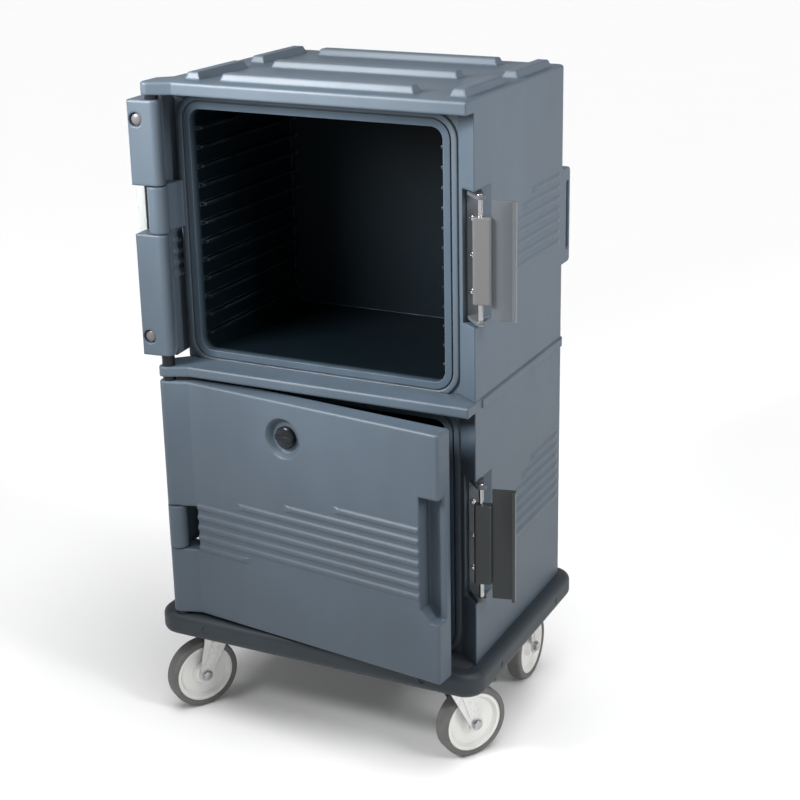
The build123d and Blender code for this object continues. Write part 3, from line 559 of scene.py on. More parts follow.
class Finishes:
    """All finishes of the carrier, each made once."""

    def __init__(self) -> None:
        """Makes the materials by the name of their finish."""
        slate = (0.048, 0.0665, 0.0868)
        finishes = {
            "slate_shell": Moulded("slate_shell", slate, edge=0.0062),
            "slate_trim": Moulded("slate_trim", slate, edge=0.0004, rub_and_highlight=1.0),
            # The liner is darkened inside as painted shade, and its strong edge lightening paints
            # highlights on the rail ends and flange edges
            "dark_liner": LinerWithPaintedShade("dark_liner", slate, roughness=0.45, edge=0.0025, rub_and_highlight=3.5, shine=0.08),
            "foam": Foamed("foam", (0.75, 0.70, 0.55)),
            # The bumper's tone is darker than the shell's slate as painted shade for the shadow it lies in
            "dark_bumper": Moulded("dark_bumper", (0.020, 0.027, 0.033), roughness=0.5, shine=0.3),
            "base_black": Moulded("base_black", (0.030, 0.036, 0.042), roughness=0.55),
            "gasket": Rubber("gasket", (0.29, 0.30, 0.30), dust=0.10),
            "steel": Metal("steel", (0.40, 0.40, 0.41), 0.30, Grain.ALONG_Z),
            "chrome": Metal("chrome", (0.46, 0.46, 0.47), 0.14, Grain.ALONG_Z),
            "latch_dark": Moulded("latch_dark", (0.062, 0.070, 0.078), roughness=0.42, edge=0.0012),
            # A darker copy of the latch plastic, as painted shade for the lower latch
            "latch_painted_shade": Moulded("latch_painted_shade", (0.021, 0.025, 0.026), roughness=0.42, edge=0.0012),
            "latch_grey": Moulded(
                "latch_grey", (0.084, 0.083, 0.086), roughness=0.36, edge=0.0015, mottle=0.08
            ),
            "vent_black": Moulded(
                "vent_black", (0.007, 0.009, 0.012), roughness=0.20, edge=0.0015, shine=0.2
            ),
            "zinc": Metal("zinc", (0.60, 0.60, 0.59), 0.36, Grain.NONE, spangle=0.5),
            "wheel_white": Moulded(
                "wheel_white", (0.70, 0.70, 0.68), roughness=0.38, edge=0.0015, mottle=0.06
            ),
            "tread_grey": Rubber("tread_grey", (0.105, 0.105, 0.103), dust=0.14),
        }
        self.materials = {name: finish.paint() for name, finish in finishes.items()}

    def apply(self, piece: bpy.types.Object, finish: str, slot: str | None = None) -> None:
        """Gives a piece one finish.

        Args:
            piece: a solid from the frame or a new piece.
            finish: name of the finish.
            slot: the record's name for it, where that is another one; not used.
        """
        piece.data.materials.clear()
        piece.data.materials.append(self.materials[finish])
        "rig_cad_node" not in piece
        log.info("%s: %s", piece.name, finish)

    def dress(self, looks: dict[str, str]) -> None:
        """Gives solids from the frame their finishes.

        Args:
            looks: name of the finish for each node.
        """
        for node, finish in looks.items():
            self.apply(frame["nodes"][node], finish)


class Bench:
    """The work bench: adds, shapes, copies and places new meshes with Blender's own tools."""

    @staticmethod
    def clear() -> None:
        """Leaves edit mode and deselects everything."""
        if bpy.context.object is not None and bpy.context.object.mode != "OBJECT":
            bpy.ops.object.mode_set(mode="OBJECT")
        bpy.ops.object.select_all(action="DESELECT")

    @staticmethod
    def hold(piece: bpy.types.Object) -> None:
        """Makes a piece the only selected one and the active one."""
        Bench.clear()
        piece.select_set(True)
        bpy.context.view_layer.objects.active = piece

    @staticmethod
    def settle(piece: bpy.types.Object) -> None:
        """Puts a piece's place, turn and scale into its mesh."""
        Bench.hold(piece)
        bpy.ops.object.transform_apply(location=True, rotation=True, scale=True)

    @staticmethod
    def cylinder(name: str, radius: float, length: float, sides: int = 32) -> bpy.types.Object:
        """Adds a cylinder that stands on the origin.

        Args:
            name: of the piece.
            radius: of the cylinder.
            length: along Z, upwards.
            sides: faces round it.

        Returns:
            The piece.
        """
        Bench.clear()
        middle = (0, 0, length / 2)
        bpy.ops.mesh.primitive_cylinder_add(vertices=sides, radius=radius, depth=length, location=middle)
        piece = bpy.context.object
        piece.name = name
        Bench.settle(piece)
        return piece

    @staticmethod
    def pick(piece: bpy.types.Object, test: Test) -> None:
        """Goes into edit mode with the faces selected that pass a test.

        Args:
            piece: what is edited.
            test: of a face's middle and normal.
        """
        Bench.hold(piece)
        bpy.ops.object.mode_set(mode="EDIT")
        bpy.ops.mesh.select_mode(type="FACE")
        bpy.ops.mesh.select_all(action="DESELECT")
        mesh = bmesh.from_edit_mesh(piece.data)
        for face in mesh.faces:
            face.select_set(test(face.calc_center_median(), face.normal))
        bmesh.update_edit_mesh(piece.data)

    @staticmethod
    def soften(piece: bpy.types.Object, width: float, segments: int = 2, angle: float = 40.0) -> None:
        """Rounds the sharp edges of a piece with a bevel and shades it smooth.

        Args:
            piece: what is rounded.
            width: of the rounding.
            segments: steps in it.
            angle: edges sharper than this are rounded, in degrees.
        """
        Bench.hold(piece)
        bevel = piece.modifiers.new("soft", "BEVEL")
        bevel.width = width
        bevel.segments = segments
        bevel.limit_method = "ANGLE"
        bevel.angle_limit = math.radians(angle)
        bpy.ops.object.modifier_apply(modifier=bevel.name)
        bpy.ops.object.shade_smooth_by_angle(angle=math.radians(angle))

    @staticmethod
    def copy(piece: bpy.types.Object, place: Matrix) -> bpy.types.Object:
        """Copies a piece with its own mesh and sets the copy in place.

        Args:
            piece: what is copied.
            place: where the copy goes.

        Returns:
            The copy.
        """
        twin = piece.copy()
        twin.data = piece.data.copy()
        bpy.context.scene.collection.objects.link(twin)
        twin.matrix_world = place
        Bench.settle(twin)
        return twin

    @staticmethod
    def joined(name: str, pieces: list[bpy.types.Object]) -> bpy.types.Object:
        """Joins pieces into one.

        Args:
            name: of the joined piece.
            pieces: what is joined.

        Returns:
            The joined piece.
        """
        Bench.hold(pieces[0])
        for piece in pieces[1:]:
            piece.select_set(True)
        if len(pieces) > 1:
            bpy.ops.object.join()
        piece = bpy.context.object
        piece.name = name
        piece.data.name = name
        return piece

    @staticmethod
    def discard(piece: bpy.types.Object) -> None:
        """Takes a pattern piece away again."""
        bpy.data.objects.remove(piece)


def looks_up(middle: Vector, normal: Vector) -> bool:
    """Whether a face looks up."""
    return normal.z > LOOKING


@dataclass
class Head:
    """A round head, modelled once as a pattern that faces +Z and copied to its places."""

    radius: float
    height: float

    def pattern(self) -> bpy.types.Object:
        """Models the head, which stands on the origin, as its own kind does."""
        raise NotImplementedError

    def set_at(self, name: str, places: list[Matrix]) -> bpy.types.Object:
        """Copies the head to each place and joins the copies.

        Args:
            name: of the joined piece.
            places: where the heads go.

        Returns:
            The joined heads.
        """
        pattern = self.pattern()
        heads = [Bench.copy(pattern, place) for place in places]
        Bench.discard(pattern)
        return Bench.joined(name, heads)


@dataclass
class DomeHead(Head):
    """A smooth domed head on a short rim."""

    rise: float
    rings: int = 8
    sides: int = 48
    smooth_angle: float = 40.0

    def pattern(self) -> bpy.types.Object:
        """Models the dome ring by ring.

        Returns:
            The pattern, which stands on the origin.
        """
        head = Bench.cylinder("dome_pattern", self.radius, self.height, self.sides)
        Bench.pick(head, looks_up)
        step = math.pi / 2 / (self.rings + 1)
        for ring in range(self.rings):
            low, high = ring * step, (ring + 1) * step
            bpy.ops.mesh.inset(thickness=self.radius * (math.cos(low) - math.cos(high)))
            bpy.ops.transform.translate(value=(0, 0, self.rise * (math.sin(high) - math.sin(low))))
        Bench.hold(head)
        bpy.ops.object.shade_smooth_by_angle(angle=math.radians(self.smooth_angle))
        return head


@dataclass
class ScrewHead(Head):
    """A round screw head with a cross recess."""

    dome: float
    # Shares of the head's radius or height
    recess: float = 0.55
    slot: float = 0.22
    slot_depth: float = 0.9
    crown: float = 0.35
    rounding: float = 0.22
    smooth_angle: float = 35.0

    def pattern(self) -> bpy.types.Object:
        """Models the head.

        Returns:
            The pattern, which stands on the origin.
        """
        head = Bench.cylinder("screw_pattern", self.radius, self.height)
        Bench.pick(head, looks_up)
        bpy.ops.mesh.inset(thickness=self.radius * self.crown)
        bpy.ops.transform.translate(value=(0, 0, self.dome))
        Bench.soften(head, min(self.radius, self.height) * self.rounding, segments=3)
        cutters = [self.bar(turn) for turn in (0.0, math.pi / 2)]
        for cutter in cutters:
            self.cut(head, cutter)
            Bench.discard(cutter)
        Bench.hold(head)
        bpy.ops.object.shade_smooth_by_angle(angle=math.radians(self.smooth_angle))
        return head

    def bar(self, turn: float) -> bpy.types.Object:
        """One bar of the cross that is cut out.

        Args:
            turn: about the head's axis.

        Returns:
            The cutting bar.
        """
        Bench.clear()
        top = self.height + self.dome
        bpy.ops.mesh.primitive_cube_add(size=1.0, location=(0, 0, top), rotation=(0, 0, turn))
        bar = bpy.context.object
        bar.scale = (2 * self.recess * self.radius, self.slot * self.radius, self.slot_depth * self.height)
        Bench.settle(bar)
        return bar

    def cut(self, head: bpy.types.Object, cutter: bpy.types.Object) -> None:
        """Cuts one bar out of the head.

        Args:
            head: the screw head.
            cutter: the bar.
        """
        Bench.hold(head)
        boolean = head.modifiers.new("recess", "BOOLEAN")
        boolean.operation = "DIFFERENCE"
        boolean.solver = "EXACT"
        boolean.object = cutter
        bpy.ops.object.modifier_apply(modifier=boolean.name)


def facing(place: Vector, out: Vector) -> Matrix:
    """A place whose +Z looks along a direction.

    Args:
        place: the origin.
        out: the direction.

    Returns:
        The place as a matrix.
    """
    return Matrix.Translation(place) @ out.to_track_quat("Z", "Y").to_matrix().to_4x4()


@dataclass
class RibEnd:
    """The slope at the end of a moulded rib: X across it, Y the way it runs out, Z proud of the wall."""

    base: float = 0.015
    crest: float = 0.006
    proud: float = 0.003
    run: float = 0.014
    sunk: float = 0.0005

    def pattern(self) -> bpy.types.Object:
        """Models the slope once.

        Returns:
            The pattern, with its high end over the origin.
        """
        Bench.clear()
        tall = self.proud + self.sunk
        foot = self.base + (self.base - self.crest) * self.sunk / self.proud
        bpy.ops.mesh.primitive_cube_add(size=1.0, location=(0, self.run / 2, tall / 2 - self.sunk))
        slope = bpy.context.object
        slope.scale = (foot, self.run, tall)
        Bench.settle(slope)
        Bench.pick(slope, looks_up)
        bpy.ops.transform.resize(value=(self.crest / foot, 1.0, 1.0))
        bpy.ops.mesh.select_all(action="SELECT")
        fall = Vector((0, self.proud, self.run)).normalized()
        bpy.ops.mesh.bisect(plane_co=(0, 0, self.proud), plane_no=fall, use_fill=True, clear_outer=True)
        bpy.ops.mesh.select_all(action="SELECT")
        bpy.ops.mesh.normals_make_consistent(inside=False)
        Bench.clear()
        return slope

    def set_at(self, name: str, ends: list[tuple[Vector, Vector, Vector]]) -> bpy.types.Object:
        """Copies the slope to the end of each rib and joins the copies.

        Args:
            name: of the joined piece.
            ends: the middle of each rib's foot, the way the rib runs out, and the way it stands proud.

        Returns:
            The joined slopes.
        """
        pattern = self.pattern()
        slopes = []
        for place, along, out in ends:
            turn = Matrix((along.cross(out), along, out)).transposed().to_4x4()
            slopes.append(Bench.copy(pattern, Matrix.Translation(place) @ turn))
        Bench.discard(pattern)
        return Bench.joined(name, slopes)


@dataclass
class Door:
    """A hinged door: shell, inner panel, bulb gasket, vent and hinge end screws."""

    name: str
    swing: float
    top: float
    panel_middle: float
    panel_height: float
    screw_heights: tuple[float, float]
    panel_width: float = 0.548
    back: float = -0.206
    # Bulb gasket; its groove and rounding are shares of its width
    gasket_depth: float = 0.0186
    gasket_width: float = 0.011
    gasket_radius: float = 0.035
    gasket_gap: float = 0.0003
    groove_side: float = 0.33
    groove_depth: float = 0.25
    gasket_rounding: float = 0.2
    # Hinge axis and the domed screws at the hinge end
    hinge: Point = (-0.312, -0.250, 0.0)
    end_face: float = -0.321
    end_screw_y: float = -0.222
    end_cap_radius: float = 0.0129
    end_cap_rim: float = 0.0015
    end_cap_rise: float = 0.0055
    # Vent in the front
    vent_x: float = -0.033
    vent_face: float = -0.2400
    vent_from_top: float = 0.076
    vent_radius: float = 0.0222
    shoulder_rim: float = 0.0006
    shoulder_rise: float = 0.0055
    # Ribs on the front; rib_step is a share of their length
    front: float = -0.248
    rib_left: float = -0.260
    rib_right: float = 0.280
    ribs_from_top: float = 0.200
    rib_pitch: float = 0.023
    rib_count: int = 8
    late_ribs: int = 3
    rib_step: float = 0.22

    @property
    def body(self) -> str:
        """The body that the door's pieces ride on."""
        return f"{self.name}_door"

    @property
    def turn(self) -> Matrix:
        """The turn from closed to the rest pose."""
        axis = Vector(self.hinge)
        swing = Matrix.Rotation(math.radians(-self.swing), 4, "Z")
        return Matrix.Translation(axis) @ swing @ Matrix.Translation(-axis)

    def gasket(self) -> bpy.types.Object:
        """Models the bulb gasket round the inner panel, with a groove along its face.

        Returns:
            The gasket at rest.
        """
        Bench.clear()
        middle = (0.0, self.back, self.panel_middle)
        bpy.ops.mesh.primitive_plane_add(size=1.0, location=middle, rotation=(math.pi / 2, 0, 0))
        ring = bpy.context.object
        ring.name = f"{self.name}_bulb_gasket"
        grow = 2 * self.gasket_width
        ring.scale = (self.panel_width + grow, self.panel_height + grow, 1.0)
        Bench.settle(ring)
        bpy.ops.object.mode_set(mode="EDIT")
        bpy.ops.mesh.select_all(action="SELECT")
        bpy.ops.mesh.bevel(offset=self.gasket_radius, segments=10, affect="VERTICES")
        bpy.ops.mesh.select_all(action="SELECT")
        bpy.ops.mesh.inset(thickness=self.gasket_width - self.gasket_gap)
        bpy.ops.mesh.delete(type="FACE")
        bpy.ops.mesh.select_all(action="SELECT")
        bpy.ops.mesh.extrude_region_move(TRANSFORM_OT_translate={"value": (0, self.gasket_depth, 0)})
        bpy.ops.mesh.select_all(action="SELECT")
        bpy.ops.mesh.normals_make_consistent(inside=False)
        Bench.pick(ring, lambda middle, normal: normal.y > LOOKING)
        bpy.ops.mesh.inset(thickness=self.gasket_width * self.groove_side)
        bpy.ops.transform.translate(value=(0, -self.gasket_width * self.groove_depth, 0))
        Bench.clear()
        Bench.soften(ring, self.gasket_width * self.gasket_rounding, segments=3, angle=30)
        ring.matrix_world = self.turn
        Bench.settle(ring)
        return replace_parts(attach(ring, self.body), f"{self.name}_door_gasket")

    def rib_ends(self) -> bpy.types.Object:
        """Models the slopes at the free ends of the door's ribs.

        Returns:
            The slopes at rest.
        """
        step = self.rib_step * (self.rib_right - self.rib_left)
        high = self.top - self.ribs_from_top
        ends = []
        for row in range(self.late_ribs):
            x = self.rib_left + (self.late_ribs - row) * step
            ends.append((Vector((x, self.front, high - row * self.rib_pitch)), LEFT, FRONT))
        low = high - (self.rib_count - 1) * self.rib_pitch
        ends.append((Vector((self.rib_left + step, self.front, low)), RIGHT, FRONT))
        slopes = RibEnd().set_at(f"{self.name}_door_rib_ends", ends)
        slopes.matrix_world = self.turn
        Bench.settle(slopes)
        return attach(slopes, self.body)

    def vent_shoulders(self) -> bpy.types.Object:
        """Models the domed shoulders on both sides of the vent's grip bar.

        Returns:
            The dome at rest.
        """
        head = DomeHead(radius=self.vent_radius, height=self.shoulder_rim, rise=self.shoulder_rise)
        spot = Vector((self.vent_x, self.vent_face, self.top - self.vent_from_top))
        dome = head.set_at(f"{self.name}_vent_shoulders", [self.turn @ facing(spot, FRONT)])
        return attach(dome, f"{self.name}_vent")

    def end_screws(self) -> bpy.types.Object:
        """Models the two domed hinge end screws.

        Returns:
            The screw heads at rest.
        """
        head = DomeHead(radius=self.end_cap_radius, height=self.end_cap_rim, rise=self.end_cap_rise)
        places = [
            self.turn @ facing(Vector((self.end_face, self.end_screw_y, height)), LEFT)
            for height in self.screw_heights
        ]
        screws = head.set_at(f"{self.name}_end_screw_heads", places)
        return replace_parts(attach(screws, self.body), f"{self.name}_hinge_end_screws")

    def build(self, finishes: Finishes) -> None:
        """Models the new pieces and dresses the door.

        Args:
            finishes: the carrier's finishes.
        """
        finishes.apply(self.gasket(), "gasket")
        finishes.apply(self.end_screws(), "latch_grey")
        finishes.apply(self.vent_shoulders(), "vent_black")
        finishes.apply(self.rib_ends(), "slate_trim", "slate_shell")
        finishes.dress(
            {
                f"{self.name}_door_shell": "slate_shell",
                f"{self.name}_door_foam": "foam",
                f"{self.name}_door_panel": "slate_shell",
                f"{self.name}_vent_cap": "vent_black",
                f"{self.name}_hinge_pin": "steel",
                f"{self.name}_hinge_bushes": "vent_black",
            }
        )


@dataclass
class Latch:
    """A corner latch: strap bracket, rod, flap with hook lip, grip and screws."""

    name: str
    grip: str
    lever: str
    out: Point = (0.8042, -0.5944, 0.0)
    screw_radius: float = 0.005
    screw_height: float = 0.0022
    screw_dome: float = 0.0006
    screw_sunk: float = 0.0015
    screw_count: int = 3
    # Rivets on the rod; spread and crown are shares of its radius
    rod_radius: float = 0.005
    rivet_spread: float = 1.35
    rivet_crown: float = 0.5
    rivet_height: float = 0.0022
    rivet_rise: float = 0.0009
    rivet_rounding: float = 0.0008

    def screws(self) -> bpy.types.Object:
        """Models the strap's screws where the frame has them.

        Returns:
            The screw heads.
        """
        low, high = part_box(f"{self.name}_latch_screws")
        out = Vector(self.out)
        middle = (low + high) / 2 - out * self.screw_sunk
        step = (high.z - low.z - 2 * self.screw_radius) / (self.screw_count - 1)
        first = middle.z - step * (self.screw_count - 1) / 2
        places = [
            facing(Vector((middle.x, middle.y, first + i * step)), out) for i in range(self.screw_count)
        ]
        head = ScrewHead(radius=self.screw_radius, height=self.screw_height, dome=self.screw_dome)
        screws = head.set_at(f"{self.name}_strap_screw_heads", places)
        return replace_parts(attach(screws, "carrier"), f"{self.name}_latch_screws")

    def rod_caps(self) -> bpy.types.Object:
        """Models the riveted ends of the rod over the bracket's ears.

        Returns:
            Both rivet heads.
        """
        low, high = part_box(f"{self.name}_latch_rod")
        middle = (low + high) / 2
        pattern = Bench.cylinder("rivet_pattern", self.rod_radius * self.rivet_spread, self.rivet_height)
        Bench.pick(pattern, looks_up)
        bpy.ops.mesh.inset(thickness=self.rod_radius * self.rivet_crown)
        bpy.ops.transform.translate(value=(0, 0, self.rivet_rise))
        Bench.soften(pattern, self.rivet_rounding, segments=3, angle=20)
        ends = ((high.z, UP), (low.z, DOWN))
        caps = [Bench.copy(pattern, facing(Vector((middle.x, middle.y, z)), out)) for z, out in ends]
        Bench.discard(pattern)
        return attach(Bench.joined(f"{self.name}_rod_rivets", caps), "carrier")

    def build(self, finishes: Finishes) -> None:
        """Models the new pieces and dresses the latch.

        Args:
            finishes: the carrier's finishes.
        """
        finishes.apply(self.screws(), "chrome")
        finishes.apply(self.rod_caps(), "chrome")
        finishes.dress(
            {
                f"{self.name}_latch_bracket": "latch_dark",
                f"{self.name}_latch_lever": self.lever,
                f"{self.name}_latch_grip": self.grip,
                f"{self.name}_latch_rod": "chrome",
            }
        )


@dataclass
class Compartment:
    """One insulated shell with its liner, door and latch."""

    name: str
    door: Door
    latch: Latch
    rib_top: float
    left_wall: float = -0.306
    right_wall: float = 0.346
    # Ribs on the sides; rib_step is a share of their length
    rib_front: float = -0.020
    rib_back: float = 0.204
    rib_pitch: float = 0.023
    rib_count: int = 7
    late_ribs: int = 2
    rib_step: float = 0.22

    def rib_ends(self) -> bpy.types.Object:
        """Models the slopes at both ends of the ribs on the sides.

        Returns:
            The slopes.
        """
        step = self.rib_step * (self.rib_back - self.rib_front)
        ends = []
        for wall, out in ((self.left_wall, LEFT), (self.right_wall, RIGHT)):
            for row in range(self.rib_count):
                z = self.rib_top - row * self.rib_pitch
                start = self.rib_front + max(0, self.late_ribs - row) * step
                ends.append((Vector((wall, start, z)), FRONT, out))
                ends.append((Vector((wall, self.rib_back, z)), BACK, out))
        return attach(RibEnd().set_at(f"{self.name}_side_rib_ends", ends), "carrier")

    def build(self, finishes: Finishes) -> None:
        """Dresses the shell and builds its rib ends, door and latch.

        Args:
            finishes: the carrier's finishes.
        """
        finishes.dress(
            {
                f"{self.name}_shell": "slate_shell",
                # The liner carries painted shade inside the compartment
                f"{self.name}_liner": "dark_liner",
                f"{self.name}_foam": "foam",
            }
        )
        finishes.apply(self.rib_ends(), "slate_trim", "slate_shell")
        self.door.build(finishes)
        self.latch.build(finishes)


@dataclass
class Base:
    """The base deck with its bumper, bumper screws and bolts."""

    half_width: float = 0.372
    half_depth: float = 0.270
    inset: float = 0.120
    screw_z: float = 0.2125
    screw_radius: float = 0.0068
    screw_height: float = 0.0018
    screw_dome: float = 0.0008
    screw_sunk: float = 0.003

    def screws(self) -> bpy.types.Object:
        """Models the screw heads sunk in the bumper.

        Returns:
            The screw heads.
        """
        along = self.half_width - self.inset
        across = self.half_depth - self.inset
        places = []
        for side in (-1, 1):
            for x in (-along, along):
                spot = Vector((x, side * (self.half_depth - self.screw_sunk), self.screw_z))
                places.append(facing(spot, Vector((0, side, 0))))
            for y in (-across, across):
                spot = Vector((side * (self.half_width - self.screw_sunk), y, self.screw_z))
                places.append(facing(spot, Vector((side, 0, 0))))
        head = ScrewHead(radius=self.screw_radius, height=self.screw_height, dome=self.screw_dome)
        screws = head.set_at("bumper_screw_heads", places)
        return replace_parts(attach(screws, "carrier"), "bumper_screws")

    def build(self, finishes: Finishes) -> None:
        """Models the screws and dresses the base.

        Args:
            finishes: the carrier's finishes.
        """
        finishes.apply(self.screws(), "base_black")
        finishes.dress(
            {
                "base_plate": "base_black",
                # The bumper's darker tone is painted shade
                "bumper": "dark_bumper",
                "base_bolts": "zinc",
                "caster_plate_bolts": "zinc",
            }
        )


class CasterKind(Enum):
    """Whether a caster swivels or stands fixed."""

    SWIVEL = "swivel"
    FIXED = "fixed"


@dataclass
class Caster:
    """One caster: plate, fork, wheel and axle with its nuts."""

    name: str
    kind: CasterKind
    turn: float
    fork_half: float = 0.024
    nut_height: float = 0.006
    nut_radius: float = 0.0105
    washer_radius: float = 0.0125
    washer_thickness: float = 0.001
    washer_rounding: float = 0.0003
    nut_chamfer: float = 0.12
    nut_rise: float = 0.0006
    nut_rounding: float = 0.0007
    # Axle bolt; its shares and thread_chamfer are of its radius
    bolt_radius: float = 0.006
    shaft_share: float = 0.98
    thread_share: float = 0.8
    thread_proud: float = 0.0004
    thread_chamfer: float = 0.25
    bolt_rounding: float = 0.0004

    @property
    def fork_body(self) -> str:
        """The body that the fork and axle ride on."""
        return f"{self.name}_swivel" if self.kind is CasterKind.SWIVEL else "carrier"

    def axle_end(self) -> bpy.types.Object:
        """Models one end of the axle: washer, chamfered nut and thread end.

        Returns:
            The pattern, which stands on the origin.
        """
        washer = Bench.cylinder("washer", self.washer_radius, self.washer_thickness, sides=40)
        Bench.soften(washer, self.washer_rounding)
        nut = Bench.cylinder("nut", self.nut_radius, self.nut_height, sides=6)
        Bench.pick(nut, looks_up)
        bpy.ops.mesh.inset(thickness=self.nut_radius * self.nut_chamfer)
        bpy.ops.transform.translate(value=(0, 0, self.nut_rise))
        Bench.soften(nut, self.nut_rounding)
        reach = self.nut_height + self.thread_proud
        stud = Bench.cylinder("stud", self.bolt_radius * self.thread_share, reach, sides=24)
        Bench.pick(stud, looks_up)
        bpy.ops.mesh.inset(thickness=self.bolt_radius * self.thread_chamfer)
        bpy.ops.transform.translate(value=(0, 0, self.thread_proud))
        Bench.soften(stud, self.bolt_rounding)
        return Bench.joined("axle_pattern", [nut, washer, stud])

    def axle(self) -> bpy.types.Object:
        """Models the axle with both ends where the frame has it.

        Returns:
            The axle.
        """
        low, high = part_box(f"{self.name}_axle")
        middle = (low + high) / 2
        angle = math.radians(self.turn)
        along = Vector((-math.sin(angle), math.cos(angle), 0))
        pattern = self.axle_end()
        ends = []
        for side in (-1, 1):
            tip = middle + along * self.fork_half * side
            ends.append(Bench.copy(pattern, facing(tip, along * side)))
        Bench.discard(pattern)
        shaft = Bench.cylinder("shaft", self.bolt_radius * self.shaft_share, 2 * self.fork_half, sides=24)
        Bench.soften(shaft, self.bolt_rounding)
        shaft.matrix_world = facing(middle - along * self.fork_half, along)
        Bench.settle(shaft)
        axle = Bench.joined(f"{self.name}_axle_and_nuts", [*ends, shaft])
        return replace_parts(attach(axle, self.fork_body), f"{self.name}_axle")

    def build(self, finishes: Finishes) -> None:
        """Models the axle and dresses the caster.

        Args:
            finishes: the carrier's finishes.
        """
        finishes.apply(self.axle(), "steel")
        looks = {
            f"{self.name}_fork": "zinc",
            f"{self.name}_wheel_disc": "wheel_white",
            f"{self.name}_tread": "tread_grey",
        }
        if self.kind is CasterKind.SWIVEL:
            looks |= {f"{self.name}_caster_plate": "zinc", f"{self.name}_kingpin": "zinc"}
        finishes.dress(looks)


@dataclass(frozen=True)
class Lamp:
    """A soft square light: where it hangs, what it looks at, its side, and its power in watts."""

    place: Point
    target: Point
    size: float
    power: float


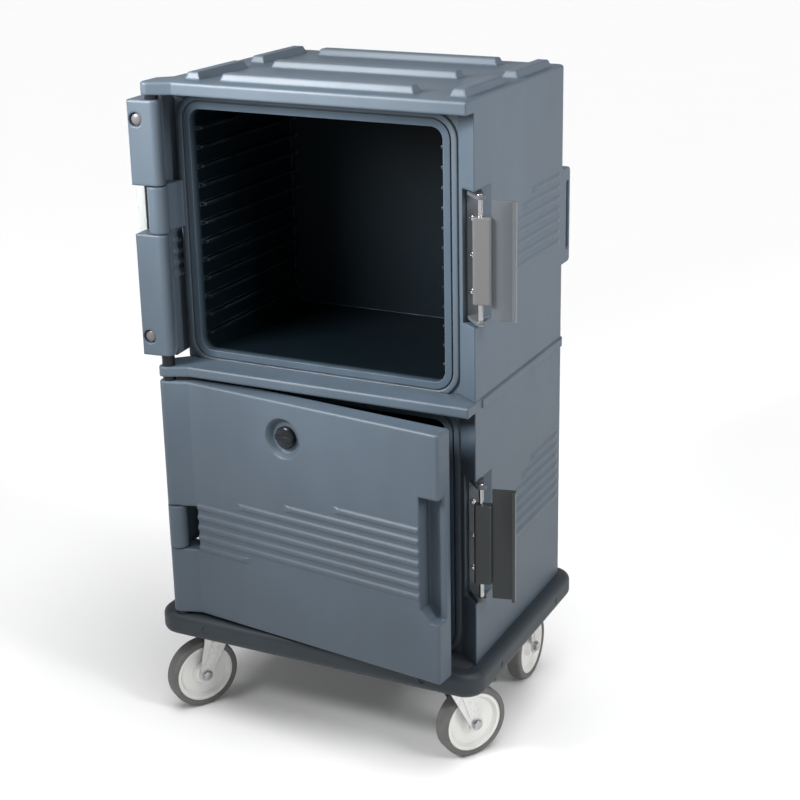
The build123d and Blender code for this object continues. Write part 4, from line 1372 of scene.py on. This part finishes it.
@dataclass
class Studio:
    """The plain floor, the soft lights and the camera at the photograph's angle."""

    # Floor and surroundings
    floor_size: float = 120.0
    floor_tone: Colour = (0.96, 0.96, 0.96)
    floor_roughness: float = 0.8
    wash: float = 0.01
    wash_scale: float = 2.0
    horizon: Colour = (0.96, 0.96, 0.96)
    zenith: Colour = (0.16, 0.16, 0.16)
    sky_rise: tuple[float, float] = (0.12, 0.42)
    # Camera
    sensor: float = 36.0
    lens: float = 72.6
    shift: tuple[float, float] = (-0.08, -0.08)
    eye: Point = (1.498, -2.806, 1.823)
    yaw: float = 24.37
    pitch: float = 17.67
    roll: float = -0.41
    # Lights
    sun_from: Point = (0.12, -0.10, 1.0)
    sun_strength: float = 2.6
    sun_spread: float = 50.0
    beam: float = 54.0
    key: Lamp = Lamp((-0.9, -1.5, 1.95), (0.02, -0.25, 1.20), 0.7, 13.5)
    fill: Lamp = Lamp((2.3, -0.5, 1.9), (0.35, 0.0, 1.1), 1.0, 7.5)

    def floor(self) -> None:
        """Adds the pale floor."""
        Bench.clear()
        bpy.ops.mesh.primitive_plane_add(size=self.floor_size)
        floor = bpy.context.object
        floor.name = "floor"
        paint = Paint("floor")
        share = paint.noise(self.wash_scale, detail=3.0)
        dark = shaded(self.floor_tone, 1 - self.wash)
        light = shaded(self.floor_tone, 1 + self.wash)
        tone = paint.blend(share, dark, light)
        floor.data.materials.append(paint.done(Base_Color=tone, Roughness=self.floor_roughness))

    def light(self, lamp: Lamp) -> None:
        """Adds one soft square light.

        Args:
            lamp: the light's place, aim, size and power.
        """
        data = bpy.data.lights.new("soft_light", "AREA")
        data.size = lamp.size
        data.spread = math.radians(self.beam)
        data.energy = lamp.power
        hung = bpy.data.objects.new("soft_light", data)
        aim = (Vector(lamp.target) - Vector(lamp.place)).to_track_quat("-Z", "Y")
        hung.matrix_world = Matrix.Translation(lamp.place) @ aim.to_matrix().to_4x4()
        bpy.context.scene.collection.objects.link(hung)

    def sun(self) -> None:
        """Adds the wide even light that the whole floor takes."""
        data = bpy.data.lights.new("wide_light", "SUN")
        data.energy = self.sun_strength
        data.angle = math.radians(self.sun_spread)
        lamp = bpy.data.objects.new("wide_light", data)
        lamp.matrix_world = Vector(self.sun_from).to_track_quat("Z", "Y").to_matrix().to_4x4()
        bpy.context.scene.collection.objects.link(lamp)

    def world(self) -> None:
        """Sets the soft light from all round, palest at the horizon."""
        world = bpy.data.worlds.new("studio")
        world.use_nodes = True
        tree = Tree(world.node_tree)
        back = next(n for n in tree.tree.nodes if n.type == "BACKGROUND")
        way = tree.node("ShaderNodeTexCoord").outputs["Generated"]
        height = tree.ramp(tree.part(way, 2), *self.sky_rise)
        tree.feed(back.inputs["Color"], tree.blend(height, self.horizon, self.zenith))
        bpy.context.scene.world = world

    def camera(self) -> None:
        """Sets the camera at the photograph's angle."""
        data = bpy.data.cameras.new("camera")
        data.lens = self.lens
        data.sensor_width = self.sensor
        data.sensor_fit = "HORIZONTAL"
        data.shift_x, data.shift_y = self.shift
        camera = bpy.data.objects.new("camera", data)
        turn = Matrix.Rotation(math.radians(self.yaw), 4, "Z")
        tilt = Matrix.Rotation(math.radians(90 - self.pitch), 4, "X")
        lean = Matrix.Rotation(math.radians(self.roll), 4, "Z")
        camera.matrix_world = Matrix.Translation(self.eye) @ turn @ tilt @ lean
        bpy.context.scene.collection.objects.link(camera)
        bpy.context.scene.camera = camera

    def build(self) -> None:
        """Builds floor, lights, surroundings and camera."""
        self.floor()
        self.sun()
        for lamp in (self.key, self.fill):
            self.light(lamp)
        self.world()
        self.camera()
        bpy.context.scene.view_settings.view_transform = "Standard"


def main() -> None:
    """Builds the carrier's sub-assemblies in order, then the studio."""
    logging.basicConfig(level=logging.INFO, format="%(name)s %(message)s")
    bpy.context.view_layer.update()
    finishes = Finishes()
    upper_door = Door(
        "upper",
        swing=265.0,
        top=1.323,
        panel_middle=1.0525,
        panel_height=0.495,
        screw_heights=(0.849, 1.285),
    )
    lower_door = Door(
        "lower",
        swing=7.0,
        top=0.757,
        panel_middle=0.495,
        panel_height=0.478,
        screw_heights=(0.282, 0.719),
    )
    upper_latch = Latch("upper", grip="latch_grey", lever="latch_dark")
    # The lower latch's grip and lever take the darker latch plastic as painted shade
    lower_latch = Latch("lower", grip="latch_painted_shade", lever="latch_painted_shade")
    Compartment("upper", upper_door, upper_latch, rib_top=1.136).build(finishes)
    Compartment("lower", lower_door, lower_latch, rib_top=0.573).build(finishes)
    Base().build(finishes)
    Caster("front_left", CasterKind.SWIVEL, turn=237.0).build(finishes)
    Caster("front_right", CasterKind.SWIVEL, turn=57.0).build(finishes)
    Caster("rear_left", CasterKind.FIXED, turn=90.0).build(finishes)
    Caster("rear_right", CasterKind.FIXED, turn=90.0).build(finishes)
    finishes.dress({"brake_pedal": "latch_dark"})
    Studio().build()
    Bench.clear()


if __name__ == "__main__":
    main()
